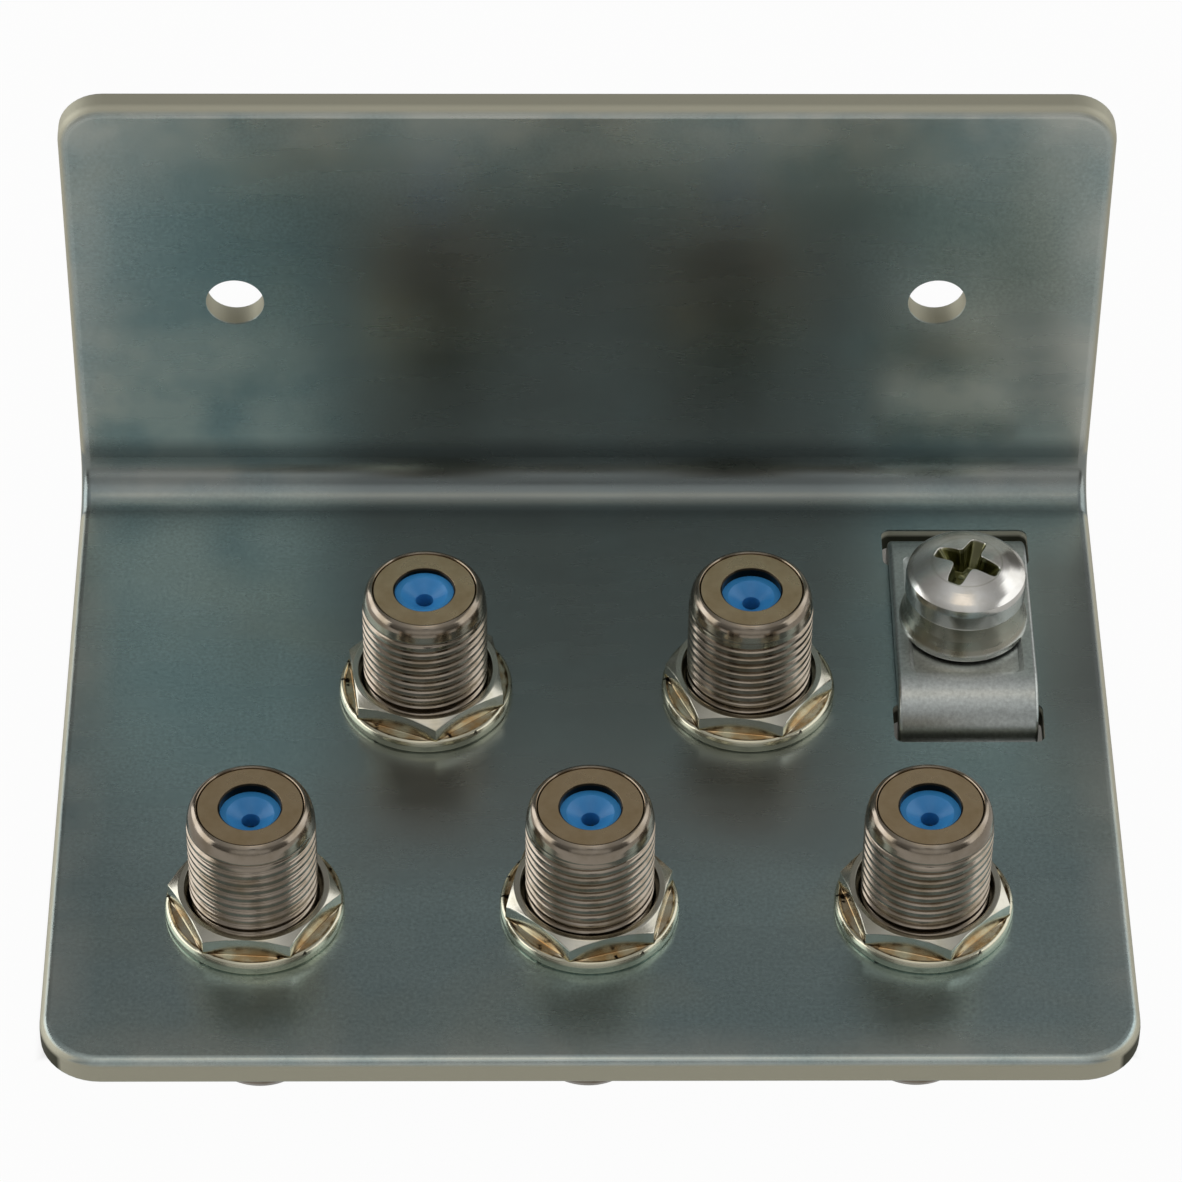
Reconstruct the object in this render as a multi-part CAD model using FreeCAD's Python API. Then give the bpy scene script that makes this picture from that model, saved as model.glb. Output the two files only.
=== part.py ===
import FreeCAD, Part
import math
import os

# Coaxial grounding block: five F ports on a bent steel bracket with a ground wire clamp.
# All lengths are in millimetres. +Z is up along the ports and +Y points into the wall.
# The origin is on the back face of the wall leg, midway between its two screw holes.

os.makedirs("parts", exist_ok=True)

# Bracket
SHEET = 2.0
WIDTH = 80.0
DEPTH = 62.9
WALL_RISE = 38.4
BEND_INSIDE_R = 3.0
FRONT_CORNER_R = 4.6
WALL_CORNER_R = 3.5
EDGE_ROUND = 0.8

# Wall screw holes
WALL_HOLE_R = 2.25
WALL_HOLE_SPACING = 54.3
WALL_HOLE_HEIGHT = 19.3

# Ports: thread, position and the plain ends of the barrel
THREAD_R = 4.73
THREAD_RELIEF_R = 4.5
THREAD_RELIEF_TOP = 2.7
PORT_PITCH = 24.7
FRONT_MARGIN = 15.1
ROW_SPACING = 22.6
PORT_HOLE_GAP = 0.08
BARREL_TOP = 11.0
BARREL_BOTTOM = 15.3
BARREL_CHAMFER = 0.7
BARREL_LEAD = 1.05
BARREL_MOUTH = 0.13
BARREL_MOUTH_DEPTH = 0.4
BARREL_BORE_R = 3.82
BARREL_WAIST_R = 2.7
WAIST_TOP = 0.5
WAIST_BOTTOM = 4.5
HEX_ACROSS_FLATS = 11.11
COLLAR_HEIGHT = 3.4
COLLAR_FACE_MARGIN = 0.15
HEX_CHAMFER_SLOPE = math.radians(30.0)

# Pressed ring, insulator and contact in each end of a barrel
RING_THICK = 1.0
RING_RECESS = 0.12
RING_OPENING_R = 2.24
RING_ROUND = 0.12
FUNNEL_TOP_R = 1.75
FUNNEL_DEPTH = 0.7
FUNNEL_HOLE_R = 0.68
CONTACT_R = 1.25
CONTACT_HOLE_R = 0.6
CONTACT_SLIT = 0.22
CONTACT_SLIT_DEPTH = 4.0
CONTACT_COVER = 1.3
CONTACT_WEB = 2.0

# Flange nut
NUT_FLANGE_R = 6.63
NUT_FLANGE_HEIGHT = 1.05
NUT_FLANGE_ROUND = 0.3
NUT_FLANGE_EDGE = 0.12
NUT_LIP_R = 6.25
NUT_LIP_DROP = 0.1
NUT_HEIGHT = 2.6
NUT_MOUTH_R = 5.12
NUT_MOUTH_DEPTH = 0.9
NUT_BORE_GAP = 0.06
NUT_TOP_FACE_R = 5.55

# Ground clamp
CLAMP_X = 29.15
CLAMP_Y = 18.95
STRAP_THICK = 1.55
STRAP_LIFT = 0.45
STRAP_WIDTH = 10.7
STRAP_HALF_SPAN = 10.55
STRAP_SHIFT = 0.2
STRAP_BEND_R = 4.05
STRAP_REST_GAP = 0.06
STRAP_LEG_END = 5.2
STRAP_EDGE = 0.3
SEAT_WIDTH = 8.75
SEAT_LENGTH = 12.8
SEAT_DEPTH = 0.43
SEAT_SLOPE_WIDTH = 0.35
SEAT_CORNER_R = 0.8
STRAP_HOLE_R = 2.75
SLOT_WIDTH = 11.5
SLOT_LENGTH = 4.1
SLOT_CORNER_R = 0.7

# Ground screw and its captive cup washer
SCREW_R = 2.4
SCREW_GAP = 0.07
SCREW_LENGTH = 12.7
SCREW_TIP_CHAMFER = 0.6
TAPPED_BOSS_R = 3.7
TAPPED_BOSS_DROP = 2.0
HEAD_R = 4.63
HEAD_EDGE = 0.12
HEAD_SIDE = 2.25
HEAD_HEIGHT = 3.3
HEAD_SHOULDER_R = 0.35
RECESS_REACH = 2.6
RECESS_ARM = 1.35
RECESS_INNER = 0.62
RECESS_DEPTH = 2.2
RECESS_FLOOR_REACH = 0.45
RECESS_FLOOR_ARM = 0.62
RECESS_TURN = math.radians(63.5)
CUP_TOP_R = 4.5
CUP_RIM_R = 4.82
CUP_HEIGHT = 2.85
CUP_WALL = 0.8
CUP_EDGE = 0.12

# How far a cutting shape runs past the surface that it cuts
OVERCUT = 1.0

# Derived positions
PLATE_TOP = -WALL_HOLE_HEIGHT
FRONT_ROW = DEPTH - FRONT_MARGIN
BACK_ROW = FRONT_ROW - ROW_SPACING
CLAMP_AT = FreeCAD.Vector(CLAMP_X, -CLAMP_Y, PLATE_TOP)
STRAP_TOP = STRAP_LIFT + STRAP_THICK
STRAP_BEND_AT = STRAP_HALF_SPAN - STRAP_BEND_R
STRAP_BEND_INSIDE_R = STRAP_BEND_R - STRAP_THICK

# The strap's bends ride on the inner edges of the slots, which sets where the slots start.
REST_REACH = STRAP_BEND_INSIDE_R - STRAP_REST_GAP
REST_DROP = STRAP_BEND_INSIDE_R - STRAP_LIFT
SLOT_START = STRAP_BEND_AT - STRAP_SHIFT + math.sqrt(REST_REACH ** 2 - REST_DROP ** 2)
SLOT_OFFSET = SLOT_START + SLOT_LENGTH / 2.0
PORTS = {
    "front_left": (-PORT_PITCH, FRONT_ROW, 0.76, -4.0),
    "front_middle": (0.0, FRONT_ROW, 0.65, -43.6),
    "front_right": (PORT_PITCH, FRONT_ROW, 0.68, -15.1),
    "back_left": (-PORT_PITCH / 2.0, BACK_ROW, 0.42, -22.5),
    "back_right": (PORT_PITCH / 2.0, BACK_ROW, 0.76, -7.4),
}

UP = FreeCAD.Vector(0.0, 0.0, 1.0)
MIDDLE = FreeCAD.Vector(0.0, 0.0, 0.0)


def save(shape, name):
    """Write one sub-part as its own file, in the shared frame."""
    if not shape.isValid():
        raise RuntimeError(name + " is not a valid solid")
    shape.exportStep("parts/" + name + ".step")
    print(name, len(shape.Solids), round(shape.Volume, 1))


def turned(points):
    """A solid turned about Z from (radius, height) corners."""
    corners = [FreeCAD.Vector(r, 0.0, z) for r, z in points]
    outline = Part.makePolygon(corners + [corners[0]])
    return Part.Face(outline).revolve(MIDDLE, UP, 360.0)


def tube(outer_r, inner_r, low, high):
    """A plain ring or tube about Z."""
    outside = Part.makeCylinder(outer_r, high - low, FreeCAD.Vector(0.0, 0.0, low))
    inside = Part.makeCylinder(inner_r, high - low, FreeCAD.Vector(0.0, 0.0, low))
    return outside.cut(inside)


def disc(radius, low, high):
    """A plain cylinder about Z."""
    return Part.makeCylinder(radius, high - low, FreeCAD.Vector(0.0, 0.0, low))


def hexagon(low, high):
    """A six-sided prism about Z with flats facing along Y."""
    sides = 6
    step_angle = 2.0 * math.pi / sides
    radius = HEX_ACROSS_FLATS / 2.0 / math.cos(step_angle / 2.0)
    corners = []
    for step in range(sides + 1):
        angle = step_angle * step
        corners.append(FreeCAD.Vector(radius * math.cos(angle), radius * math.sin(angle), low))
    face = Part.Face(Part.makePolygon(corners))
    return face.extrude(FreeCAD.Vector(0.0, 0.0, high - low))


def rounded_box(length_x, length_y, low, high, corner_r):
    """An upright block about Z with rounded corners, for slots."""
    corner = FreeCAD.Vector(-length_x / 2.0, -length_y / 2.0, low)
    block = Part.makeBox(length_x, length_y, high - low, corner)
    upright = [edge for edge in block.Edges if along(edge, 2)]
    return block.makeFillet(corner_r, upright)


def along(edge, axis):
    """Whether a straight edge runs along one axis: 0 is X, 1 is Y and 2 is Z."""
    if len(edge.Vertexes) != 2:
        return False
    run = edge.Vertexes[1].Point.sub(edge.Vertexes[0].Point)
    parts = [abs(run.x), abs(run.y), abs(run.z)]
    return parts[axis] > 1e-6 and sum(parts) - parts[axis] < 1e-6


def centre_of(edge):
    """The point halfway along an edge."""
    return edge.valueAt((edge.FirstParameter + edge.LastParameter) / 2.0)


def bent_sheet():
    """The L of sheet steel, before holes: wall leg, bend and plate."""
    outside_r = BEND_INSIDE_R + SHEET
    floor = PLATE_TOP - SHEET
    top = PLATE_TOP + WALL_RISE
    slant = math.sqrt(0.5)
    inner_centre = FreeCAD.Vector(0.0, -outside_r, PLATE_TOP + BEND_INSIDE_R)
    outer_mid = inner_centre + FreeCAD.Vector(0.0, outside_r * slant, -outside_r * slant)
    inner_mid = inner_centre + FreeCAD.Vector(0.0, BEND_INSIDE_R * slant, -BEND_INSIDE_R * slant)

    def at(y, z):
        return FreeCAD.Vector(0.0, y, z)

    back_low = at(0.0, floor + outside_r)
    under_back = at(-outside_r, floor)
    under_front = at(-DEPTH, floor)
    plate_front = at(-DEPTH, PLATE_TOP)
    plate_back = at(-outside_r, PLATE_TOP)
    wall_low = at(-SHEET, PLATE_TOP + BEND_INSIDE_R)
    wall_top = at(-SHEET, top)
    back_top = at(0.0, top)
    edges = [
        Part.Arc(back_low, outer_mid, under_back).toShape(),
        Part.makeLine(under_back, under_front),
        Part.makeLine(under_front, plate_front),
        Part.makeLine(plate_front, plate_back),
        Part.Arc(plate_back, inner_mid, wall_low).toShape(),
        Part.makeLine(wall_low, wall_top),
        Part.makeLine(wall_top, back_top),
        Part.makeLine(back_top, back_low),
    ]
    profile = Part.Face(Part.Wire(edges))
    profile.translate(FreeCAD.Vector(-WIDTH / 2.0, 0.0, 0.0))
    return profile.extrude(FreeCAD.Vector(WIDTH, 0.0, 0.0))


def round_sheet(sheet):
    """Round the four free corners, then the rim of the visible skin."""
    top = PLATE_TOP + WALL_RISE
    front = [e for e in sheet.Edges if along(e, 2) and abs(centre_of(e).y + DEPTH) < 1e-6]
    sheet = sheet.makeFillet(FRONT_CORNER_R, front)
    upper = [e for e in sheet.Edges if along(e, 1) and abs(centre_of(e).z - top) < 1e-6]
    sheet = sheet.makeFillet(WALL_CORNER_R, upper)
    rim = [e for e in sheet.Edges if on_visible_rim(e)]
    return sheet.makeFillet(EDGE_ROUND, rim)


def on_visible_rim(edge):
    """Whether an edge borders the skin that faces up and forward."""
    point = centre_of(edge)
    skin = False
    for vertex in edge.Vertexes:
        spot = vertex.Point
        on_plate = abs(spot.z - PLATE_TOP) < 1e-6 and spot.y < -SHEET
        on_wall = abs(spot.y + SHEET) < 1e-6 and spot.z > PLATE_TOP
        if not on_plate and not on_wall:
            return False
        skin = True
    across = along(edge, 0)
    in_bend = point.y > -DEPTH + 1e-6 and point.z < PLATE_TOP + WALL_RISE - 1e-6
    return skin and not (across and in_bend)


def make_bracket():
    """The bracket with every hole, the clamp slots and the tapped boss."""
    sheet = round_sheet(bent_sheet())
    boss = tube(TAPPED_BOSS_R, SCREW_R + SCREW_GAP, PLATE_TOP - SHEET - TAPPED_BOSS_DROP, PLATE_TOP - SHEET)
    boss.translate(FreeCAD.Vector(CLAMP_X, -CLAMP_Y, 0.0))
    sheet = sheet.fuse(boss)
    cutters = []
    for x, back, recess, turn in PORTS.values():
        hole = disc(THREAD_R + PORT_HOLE_GAP, PLATE_TOP - 2.0 * SHEET, PLATE_TOP + SHEET)
        hole.translate(FreeCAD.Vector(x, -back, 0.0))
        cutters.append(hole)
    tapped = disc(SCREW_R + SCREW_GAP, PLATE_TOP - 4.0 * SHEET, PLATE_TOP + SHEET)
    tapped.translate(FreeCAD.Vector(CLAMP_X, -CLAMP_Y, 0.0))
    cutters.append(tapped)
    for side in (-1.0, 1.0):
        slot = rounded_box(SLOT_WIDTH, SLOT_LENGTH, PLATE_TOP - 2.0 * SHEET, PLATE_TOP + SHEET, SLOT_CORNER_R)
        slot.translate(FreeCAD.Vector(CLAMP_X, -CLAMP_Y + side * SLOT_OFFSET, 0.0))
        cutters.append(slot)
        start = FreeCAD.Vector(side * WALL_HOLE_SPACING / 2.0, SHEET, 0.0)
        reach = FreeCAD.Vector(0.0, -1.0, 0.0)
        cutters.append(Part.makeCylinder(WALL_HOLE_R, 3.0 * SHEET, start, reach))
    for cutter in cutters:
        sheet = sheet.cut(cutter)
    return sheet.removeSplitter()


def hex_collar():
    """The wrench hexagon under the plate, with its lower corners chamfered."""
    low = -SHEET - COLLAR_HEIGHT
    high = -SHEET
    face_r = HEX_ACROSS_FLATS / 2.0 - COLLAR_FACE_MARGIN
    reach = HEX_ACROSS_FLATS
    rise = (reach - face_r) * math.tan(HEX_CHAMFER_SLOPE)
    over = high + OVERCUT
    cone = turned([(0.0, low), (face_r, low), (reach, low + rise), (reach, over), (0.0, over)])
    return hexagon(low, high).common(cone)


def make_barrel():
    """The threaded barrel at its crest radius, with a relief in the nut, bores and a hex collar."""
    top = BARREL_TOP
    low = -BARREL_BOTTOM
    cut = BARREL_CHAMFER
    lead = BARREL_LEAD
    body = turned([
        (0.0, low),
        (THREAD_R - cut, low),
        (THREAD_R, low + lead),
        (THREAD_R, -SHEET),
        (THREAD_RELIEF_R, -SHEET),
        (THREAD_RELIEF_R, THREAD_RELIEF_TOP),
        (THREAD_R, THREAD_RELIEF_TOP),
        (THREAD_R, top - lead),
        (THREAD_R - cut, top),
        (0.0, top),
    ])
    body = body.fuse(hex_collar())
    body = body.cut(disc(BARREL_BORE_R, WAIST_TOP, top))
    body = body.cut(disc(BARREL_BORE_R, low, -WAIST_BOTTOM))
    body = body.cut(disc(BARREL_WAIST_R, -WAIST_BOTTOM, WAIST_TOP))
    for end, inward in ((top, -BARREL_MOUTH_DEPTH), (low, BARREL_MOUTH_DEPTH)):
        mouth = turned([
            (0.0, end),
            (BARREL_BORE_R + BARREL_MOUTH, end),
            (BARREL_BORE_R, end + inward),
            (0.0, end + inward),
        ])
        body = body.cut(mouth)
    return body.removeSplitter()


def make_ring(end_height, outward):
    """The ring pressed in one end of a barrel. outward is 1 for the top end."""
    outer = end_height - outward * RING_RECESS
    inner = outer - outward * RING_THICK
    cut = RING_ROUND
    return turned([
        (RING_OPENING_R, inner),
        (BARREL_BORE_R, inner),
        (BARREL_BORE_R, outer),
        (RING_OPENING_R + cut, outer),
        (RING_OPENING_R, outer - outward * cut),
    ])


def make_insulator(end_height, outward, recess, shoulder):
    """The moulded insert between the waist of the barrel and the pressed ring."""
    face = end_height - outward * (RING_RECESS + recess)
    ring_foot = end_height - outward * (RING_RECESS + RING_THICK)
    cover = face - outward * (FUNNEL_DEPTH + CONTACT_COVER)
    hole_top = face - outward * FUNNEL_DEPTH
    return turned([
        (CONTACT_R, shoulder),
        (BARREL_BORE_R, shoulder),
        (BARREL_BORE_R, ring_foot),
        (RING_OPENING_R, ring_foot),
        (RING_OPENING_R, face),
        (FUNNEL_TOP_R, face),
        (FUNNEL_HOLE_R, hole_top),
        (FUNNEL_HOLE_R, cover),
        (CONTACT_R, cover),
    ])


def make_contact(recess):
    """The double-ended spring contact, slit at both ends and solid in the middle."""
    top = BARREL_TOP - RING_RECESS - recess - FUNNEL_DEPTH - CONTACT_COVER
    low = -BARREL_BOTTOM + RING_RECESS + recess + FUNNEL_DEPTH + CONTACT_COVER
    middle = (WAIST_TOP - WAIST_BOTTOM) / 2.0
    body = disc(CONTACT_R, low, top)
    body = body.cut(disc(CONTACT_HOLE_R, middle + CONTACT_WEB / 2.0, top))
    body = body.cut(disc(CONTACT_HOLE_R, low, middle - CONTACT_WEB / 2.0))
    span = 4.0 * CONTACT_R
    for start in (top - CONTACT_SLIT_DEPTH, low):
        for along_x in (True, False):
            size_x = span if along_x else CONTACT_SLIT
            size_y = CONTACT_SLIT if along_x else span
            corner = FreeCAD.Vector(-size_x / 2.0, -size_y / 2.0, start)
            body = body.cut(Part.makeBox(size_x, size_y, CONTACT_SLIT_DEPTH, corner))
    return body


def make_flange_nut():
    """The nut: round flange with a dished face and a raised lip, hexagon, open mouth."""
    bore_r = THREAD_R + NUT_BORE_GAP
    face = NUT_FLANGE_HEIGHT - NUT_LIP_DROP
    rounding = NUT_FLANGE_ROUND
    flange = turned([
        (0.0, 0.0),
        (NUT_FLANGE_R - NUT_FLANGE_EDGE, 0.0),
        (NUT_FLANGE_R, NUT_FLANGE_EDGE),
        (NUT_FLANGE_R, NUT_FLANGE_HEIGHT - rounding),
        (NUT_FLANGE_R - rounding, NUT_FLANGE_HEIGHT),
        (NUT_LIP_R, face),
        (0.0, face),
    ])
    reach = HEX_ACROSS_FLATS
    drop = (reach - NUT_TOP_FACE_R) * math.tan(HEX_CHAMFER_SLOPE)
    crown = turned([
        (0.0, 0.0),
        (reach, 0.0),
        (reach, NUT_HEIGHT - drop),
        (NUT_TOP_FACE_R, NUT_HEIGHT),
        (0.0, NUT_HEIGHT),
    ])
    wrench = hexagon(0.0, NUT_HEIGHT).common(crown)
    mouth = turned([
        (0.0, -OVERCUT),
        (bore_r, -OVERCUT),
        (bore_r, NUT_HEIGHT - NUT_MOUTH_DEPTH),
        (NUT_MOUTH_R, NUT_HEIGHT),
        (NUT_MOUTH_R, NUT_HEIGHT + OVERCUT),
        (0.0, NUT_HEIGHT + OVERCUT),
    ])
    return flange.fuse(wrench).cut(mouth).removeSplitter()


def strap_profile():
    """Side view of the strap: a flat span with both ends bent down."""
    half = STRAP_HALF_SPAN
    outer_r = STRAP_BEND_R
    inner_r = STRAP_BEND_INSIDE_R
    slant = math.sqrt(0.5)
    top = STRAP_TOP
    under = STRAP_LIFT
    foot = -STRAP_LEG_END
    centre_z = top - outer_r

    def at(y, z):
        return FreeCAD.Vector(0.0, y, z)

    bend_y = STRAP_BEND_AT
    front_mid = at(-bend_y - outer_r * slant, centre_z + outer_r * slant)
    back_mid = at(bend_y + outer_r * slant, centre_z + outer_r * slant)
    front_in = at(-bend_y - inner_r * slant, centre_z + inner_r * slant)
    back_in = at(bend_y + inner_r * slant, centre_z + inner_r * slant)
    inside = half - STRAP_THICK
    return Part.Wire([
        Part.makeLine(at(-bend_y, top), at(bend_y, top)),
        Part.Arc(at(bend_y, top), back_mid, at(half, centre_z)).toShape(),
        Part.makeLine(at(half, centre_z), at(half, foot)),
        Part.makeLine(at(half, foot), at(inside, foot)),
        Part.makeLine(at(inside, foot), at(inside, centre_z)),
        Part.Arc(at(inside, centre_z), back_in, at(bend_y, under)).toShape(),
        Part.makeLine(at(bend_y, under), at(-bend_y, under)),
        Part.Arc(at(-bend_y, under), front_in, at(-inside, centre_z)).toShape(),
        Part.makeLine(at(-inside, centre_z), at(-inside, foot)),
        Part.makeLine(at(-inside, foot), at(-half, foot)),
        Part.makeLine(at(-half, foot), at(-half, centre_z)),
        Part.Arc(at(-half, centre_z), front_mid, at(-bend_y, top)).toShape(),
    ])


def seat_cutter():
    """The long seat pressed in the strap, with sloping sides and round corners."""
    wires = []
    for slope, height in ((SEAT_SLOPE_WIDTH, STRAP_TOP - SEAT_DEPTH), (0.0, STRAP_TOP)):
        x = SEAT_WIDTH / 2.0 - slope
        y = SEAT_LENGTH / 2.0 - slope
        corners = [(-x, -y), (x, -y), (x, y), (-x, y), (-x, -y)]
        wires.append(Part.makePolygon([FreeCAD.Vector(a, b, height) for a, b in corners]))
    seat = Part.makeLoft(wires, True, True)
    sloping = [edge for edge in seat.Edges if not along(edge, 0) and not along(edge, 1)]
    return seat.makeFillet(SEAT_CORNER_R, sloping)


def make_strap():
    """The strap that presses the ground wire onto the plate."""
    profile = Part.Face(strap_profile())
    profile.translate(FreeCAD.Vector(-STRAP_WIDTH / 2.0, 0.0, 0.0))
    strap = profile.extrude(FreeCAD.Vector(STRAP_WIDTH, 0.0, 0.0))
    rim = []
    bend_z = STRAP_TOP - STRAP_BEND_R
    for edge in strap.Edges:
        point = centre_of(edge)
        on_side = abs(abs(point.x) - STRAP_WIDTH / 2.0) < 1e-6
        radius = math.hypot(abs(point.y) - STRAP_BEND_AT, point.z - bend_z)
        on_bend = abs(radius - STRAP_BEND_R) < 1e-4
        on_top = abs(point.z - STRAP_TOP) < 1e-6
        on_leg = abs(abs(point.y) - STRAP_HALF_SPAN) < 1e-6
        if on_side and not along(edge, 0) and (on_bend or on_top or on_leg):
            rim.append(edge)
    strap = strap.makeFillet(STRAP_EDGE, rim)
    strap = strap.cut(seat_cutter())
    strap = strap.cut(disc(STRAP_HOLE_R, -STRAP_THICK, 2.0 * STRAP_TOP))
    strap.translate(FreeCAD.Vector(0.0, STRAP_SHIFT, 0.0))
    return strap


def make_cup_washer():
    """The captive washer under the head: a short flared cup, rim down on the strap."""
    low = STRAP_TOP
    top = low + CUP_HEIGHT
    inside_r = CUP_RIM_R - CUP_WALL
    roof = top - CUP_WALL
    return turned([
        (SCREW_R + SCREW_GAP, roof),
        (CUP_TOP_R - CUP_WALL, roof),
        (inside_r, low),
        (CUP_RIM_R - CUP_EDGE, low),
        (CUP_RIM_R, low + CUP_EDGE),
        (CUP_TOP_R, top - CUP_EDGE),
        (CUP_TOP_R - CUP_EDGE, top),
        (SCREW_R + SCREW_GAP, top),
    ])


def cross_section(reach, arm, height):
    """One level of the cross recess: four arms meeting at rounded inner corners."""
    corners = []
    for quarter in range(4):
        turn = RECESS_TURN + quarter * math.pi / 2.0
        inner = arm * RECESS_INNER
        for out, side in ((reach, -arm / 2.0), (reach, arm / 2.0), (inner, inner)):
            x = out * math.cos(turn) - side * math.sin(turn)
            y = out * math.sin(turn) + side * math.cos(turn)
            corners.append(FreeCAD.Vector(x, y, height))
    return Part.makePolygon(corners + [corners[0]])


def make_screw():
    """The pan head screw with its cross recess and chamfered tip."""
    under = STRAP_TOP + CUP_HEIGHT
    tip = under - SCREW_LENGTH
    top = under + HEAD_HEIGHT
    shoulder = under + HEAD_SIDE
    dome_rise = HEAD_HEIGHT - HEAD_SIDE
    dome_r = (HEAD_R ** 2 + dome_rise ** 2) / (2.0 * dome_rise)
    half_r = HEAD_R / 2.0
    half_z = top - dome_r + math.sqrt(dome_r ** 2 - half_r ** 2)

    def at(r, z):
        return FreeCAD.Vector(r, 0.0, z)

    wire = Part.Wire([
        Part.makeLine(at(0.0, tip), at(SCREW_R - SCREW_TIP_CHAMFER, tip)),
        Part.makeLine(at(SCREW_R - SCREW_TIP_CHAMFER, tip), at(SCREW_R, tip + SCREW_TIP_CHAMFER)),
        Part.makeLine(at(SCREW_R, tip + SCREW_TIP_CHAMFER), at(SCREW_R, under)),
        Part.makeLine(at(SCREW_R, under), at(HEAD_R - HEAD_EDGE, under)),
        Part.makeLine(at(HEAD_R - HEAD_EDGE, under), at(HEAD_R, under + HEAD_EDGE)),
        Part.makeLine(at(HEAD_R, under + HEAD_EDGE), at(HEAD_R, shoulder)),
        Part.Arc(at(HEAD_R, shoulder), at(half_r, half_z), at(0.0, top)).toShape(),
        Part.makeLine(at(0.0, top), at(0.0, tip)),
    ])
    body = Part.Face(wire).revolve(MIDDLE, UP, 360.0)
    rim = []
    for edge in body.Edges:
        level = edge.BoundBox.ZLength < 1e-6
        if level and abs(edge.BoundBox.ZMin - shoulder) < 1e-6:
            rim.append(edge)
    body = body.makeFillet(HEAD_SHOULDER_R, rim)
    wide = cross_section(RECESS_REACH, RECESS_ARM, top)
    floor_reach = RECESS_REACH * RECESS_FLOOR_REACH
    narrow = cross_section(floor_reach, RECESS_ARM * RECESS_FLOOR_ARM, top - RECESS_DEPTH)
    recess = Part.makeLoft([wide, narrow], True, True)
    return body.cut(recess)


def place_port(name, x, back, recess, turn):
    """Build the seven pieces of one port and set them in the plate."""
    place = FreeCAD.Vector(x, -back, PLATE_TOP)
    nut = make_flange_nut()
    nut.rotate(MIDDLE, UP, turn)
    pieces = {
        "barrel": make_barrel(),
        "top_ring": make_ring(BARREL_TOP, 1.0),
        "bottom_ring": make_ring(-BARREL_BOTTOM, -1.0),
        "top_insulator": make_insulator(BARREL_TOP, 1.0, recess, WAIST_TOP),
        "bottom_insulator": make_insulator(-BARREL_BOTTOM, -1.0, recess, -WAIST_BOTTOM),
        "contact": make_contact(recess),
        "flange_nut": nut,
    }
    for piece_name, piece in pieces.items():
        piece.translate(place)
        save(piece, name + "_" + piece_name)


save(make_bracket(), "bracket")
for port_name, settings in PORTS.items():
    place_port(port_name, *settings)
for clamp_name, clamp_piece in (
    ("ground_strap", make_strap()),
    ("cup_washer", make_cup_washer()),
    ("ground_screw", make_screw()),
):
    clamp_piece.translate(CLAMP_AT)
    save(clamp_piece, clamp_name)
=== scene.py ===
"""Looks of the coaxial grounding block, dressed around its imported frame.

Shapes are worked out in millimetres about each piece's own axis, with the plate's upper
face at height 0, and are put in their place in metres when the mesh is written.
"""
import logging
import math
from dataclasses import dataclass, field
from enum import Enum

import bmesh
import bpy
import numpy as np
from mathutils import Matrix, Vector


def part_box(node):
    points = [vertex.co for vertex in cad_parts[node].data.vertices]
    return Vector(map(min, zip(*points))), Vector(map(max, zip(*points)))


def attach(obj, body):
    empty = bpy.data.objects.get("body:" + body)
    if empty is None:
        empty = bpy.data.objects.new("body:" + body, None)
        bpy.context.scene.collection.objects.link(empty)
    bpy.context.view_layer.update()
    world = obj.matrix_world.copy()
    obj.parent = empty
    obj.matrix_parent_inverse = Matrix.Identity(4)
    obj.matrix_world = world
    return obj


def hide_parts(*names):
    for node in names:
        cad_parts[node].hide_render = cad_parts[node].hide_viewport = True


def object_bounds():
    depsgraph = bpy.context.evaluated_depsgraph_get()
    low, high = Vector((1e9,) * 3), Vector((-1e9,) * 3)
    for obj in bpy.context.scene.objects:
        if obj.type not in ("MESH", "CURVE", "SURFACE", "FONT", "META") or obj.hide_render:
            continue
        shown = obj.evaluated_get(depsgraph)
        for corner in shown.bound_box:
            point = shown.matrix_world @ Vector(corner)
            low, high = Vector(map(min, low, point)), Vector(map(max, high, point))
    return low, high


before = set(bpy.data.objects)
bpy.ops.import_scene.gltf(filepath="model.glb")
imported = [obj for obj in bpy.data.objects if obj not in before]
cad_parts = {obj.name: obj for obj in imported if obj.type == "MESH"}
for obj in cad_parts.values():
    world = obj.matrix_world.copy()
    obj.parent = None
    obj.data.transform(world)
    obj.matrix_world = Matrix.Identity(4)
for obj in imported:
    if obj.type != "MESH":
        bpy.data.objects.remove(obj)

LOG = logging.getLogger("grounding_block")
CAD_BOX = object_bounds()

MM = 0.001
FULL_TURN = 2.0 * math.pi
MERGE_MM = 0.001
SHARP_ANGLE = math.radians(32.0)
HEX_CHAMFER = math.tan(math.radians(30.0))
# Length after which a wave texture of scale 1 repeats.
WAVE_LENGTH = 0.314

# The bracket's sizes in its own frame, in mm. The origin lies on the wall's back face.
HALF_WIDTH = 40.0
PLATE_Z = -19.3
SHEET = 2.0
FRONT_Y = -62.9
WALL_TOP = 19.1

PORTS = ("front_left", "front_middle", "front_right", "back_left", "back_right")
NUT_TURNS = {
    "front_left": -4.0,
    "front_middle": -43.6,
    "front_right": -15.1,
    "back_left": -22.5,
    "back_right": -7.4,
}
THREAD_PHASES = {
    "front_left": 0.54,
    "front_middle": 0.19,
    "front_right": 0.64,
    "back_left": 0.56,
    "back_right": 0.22,
}


class Body(Enum):
    """The bodies of the frame that a piece can ride on."""

    BLOCK = "block"
    CLAMP = "ground_clamp"
    SCREW = "ground_screw"


class Slot(Enum):
    """The record's material slots that the new pieces use."""

    BARREL = "nickel_brass"
    NUT = "nickel_nut"
    SCREW = "nickel_steel"


class Way(Enum):
    """The ways in which a zone of the bracket is bounded."""

    ACROSS = "x"
    DEPTH = "y"
    HEIGHT = "z"
    SIDE = "distance from the middle"
    ASIDE = "distance from the middle of the patina"


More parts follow.
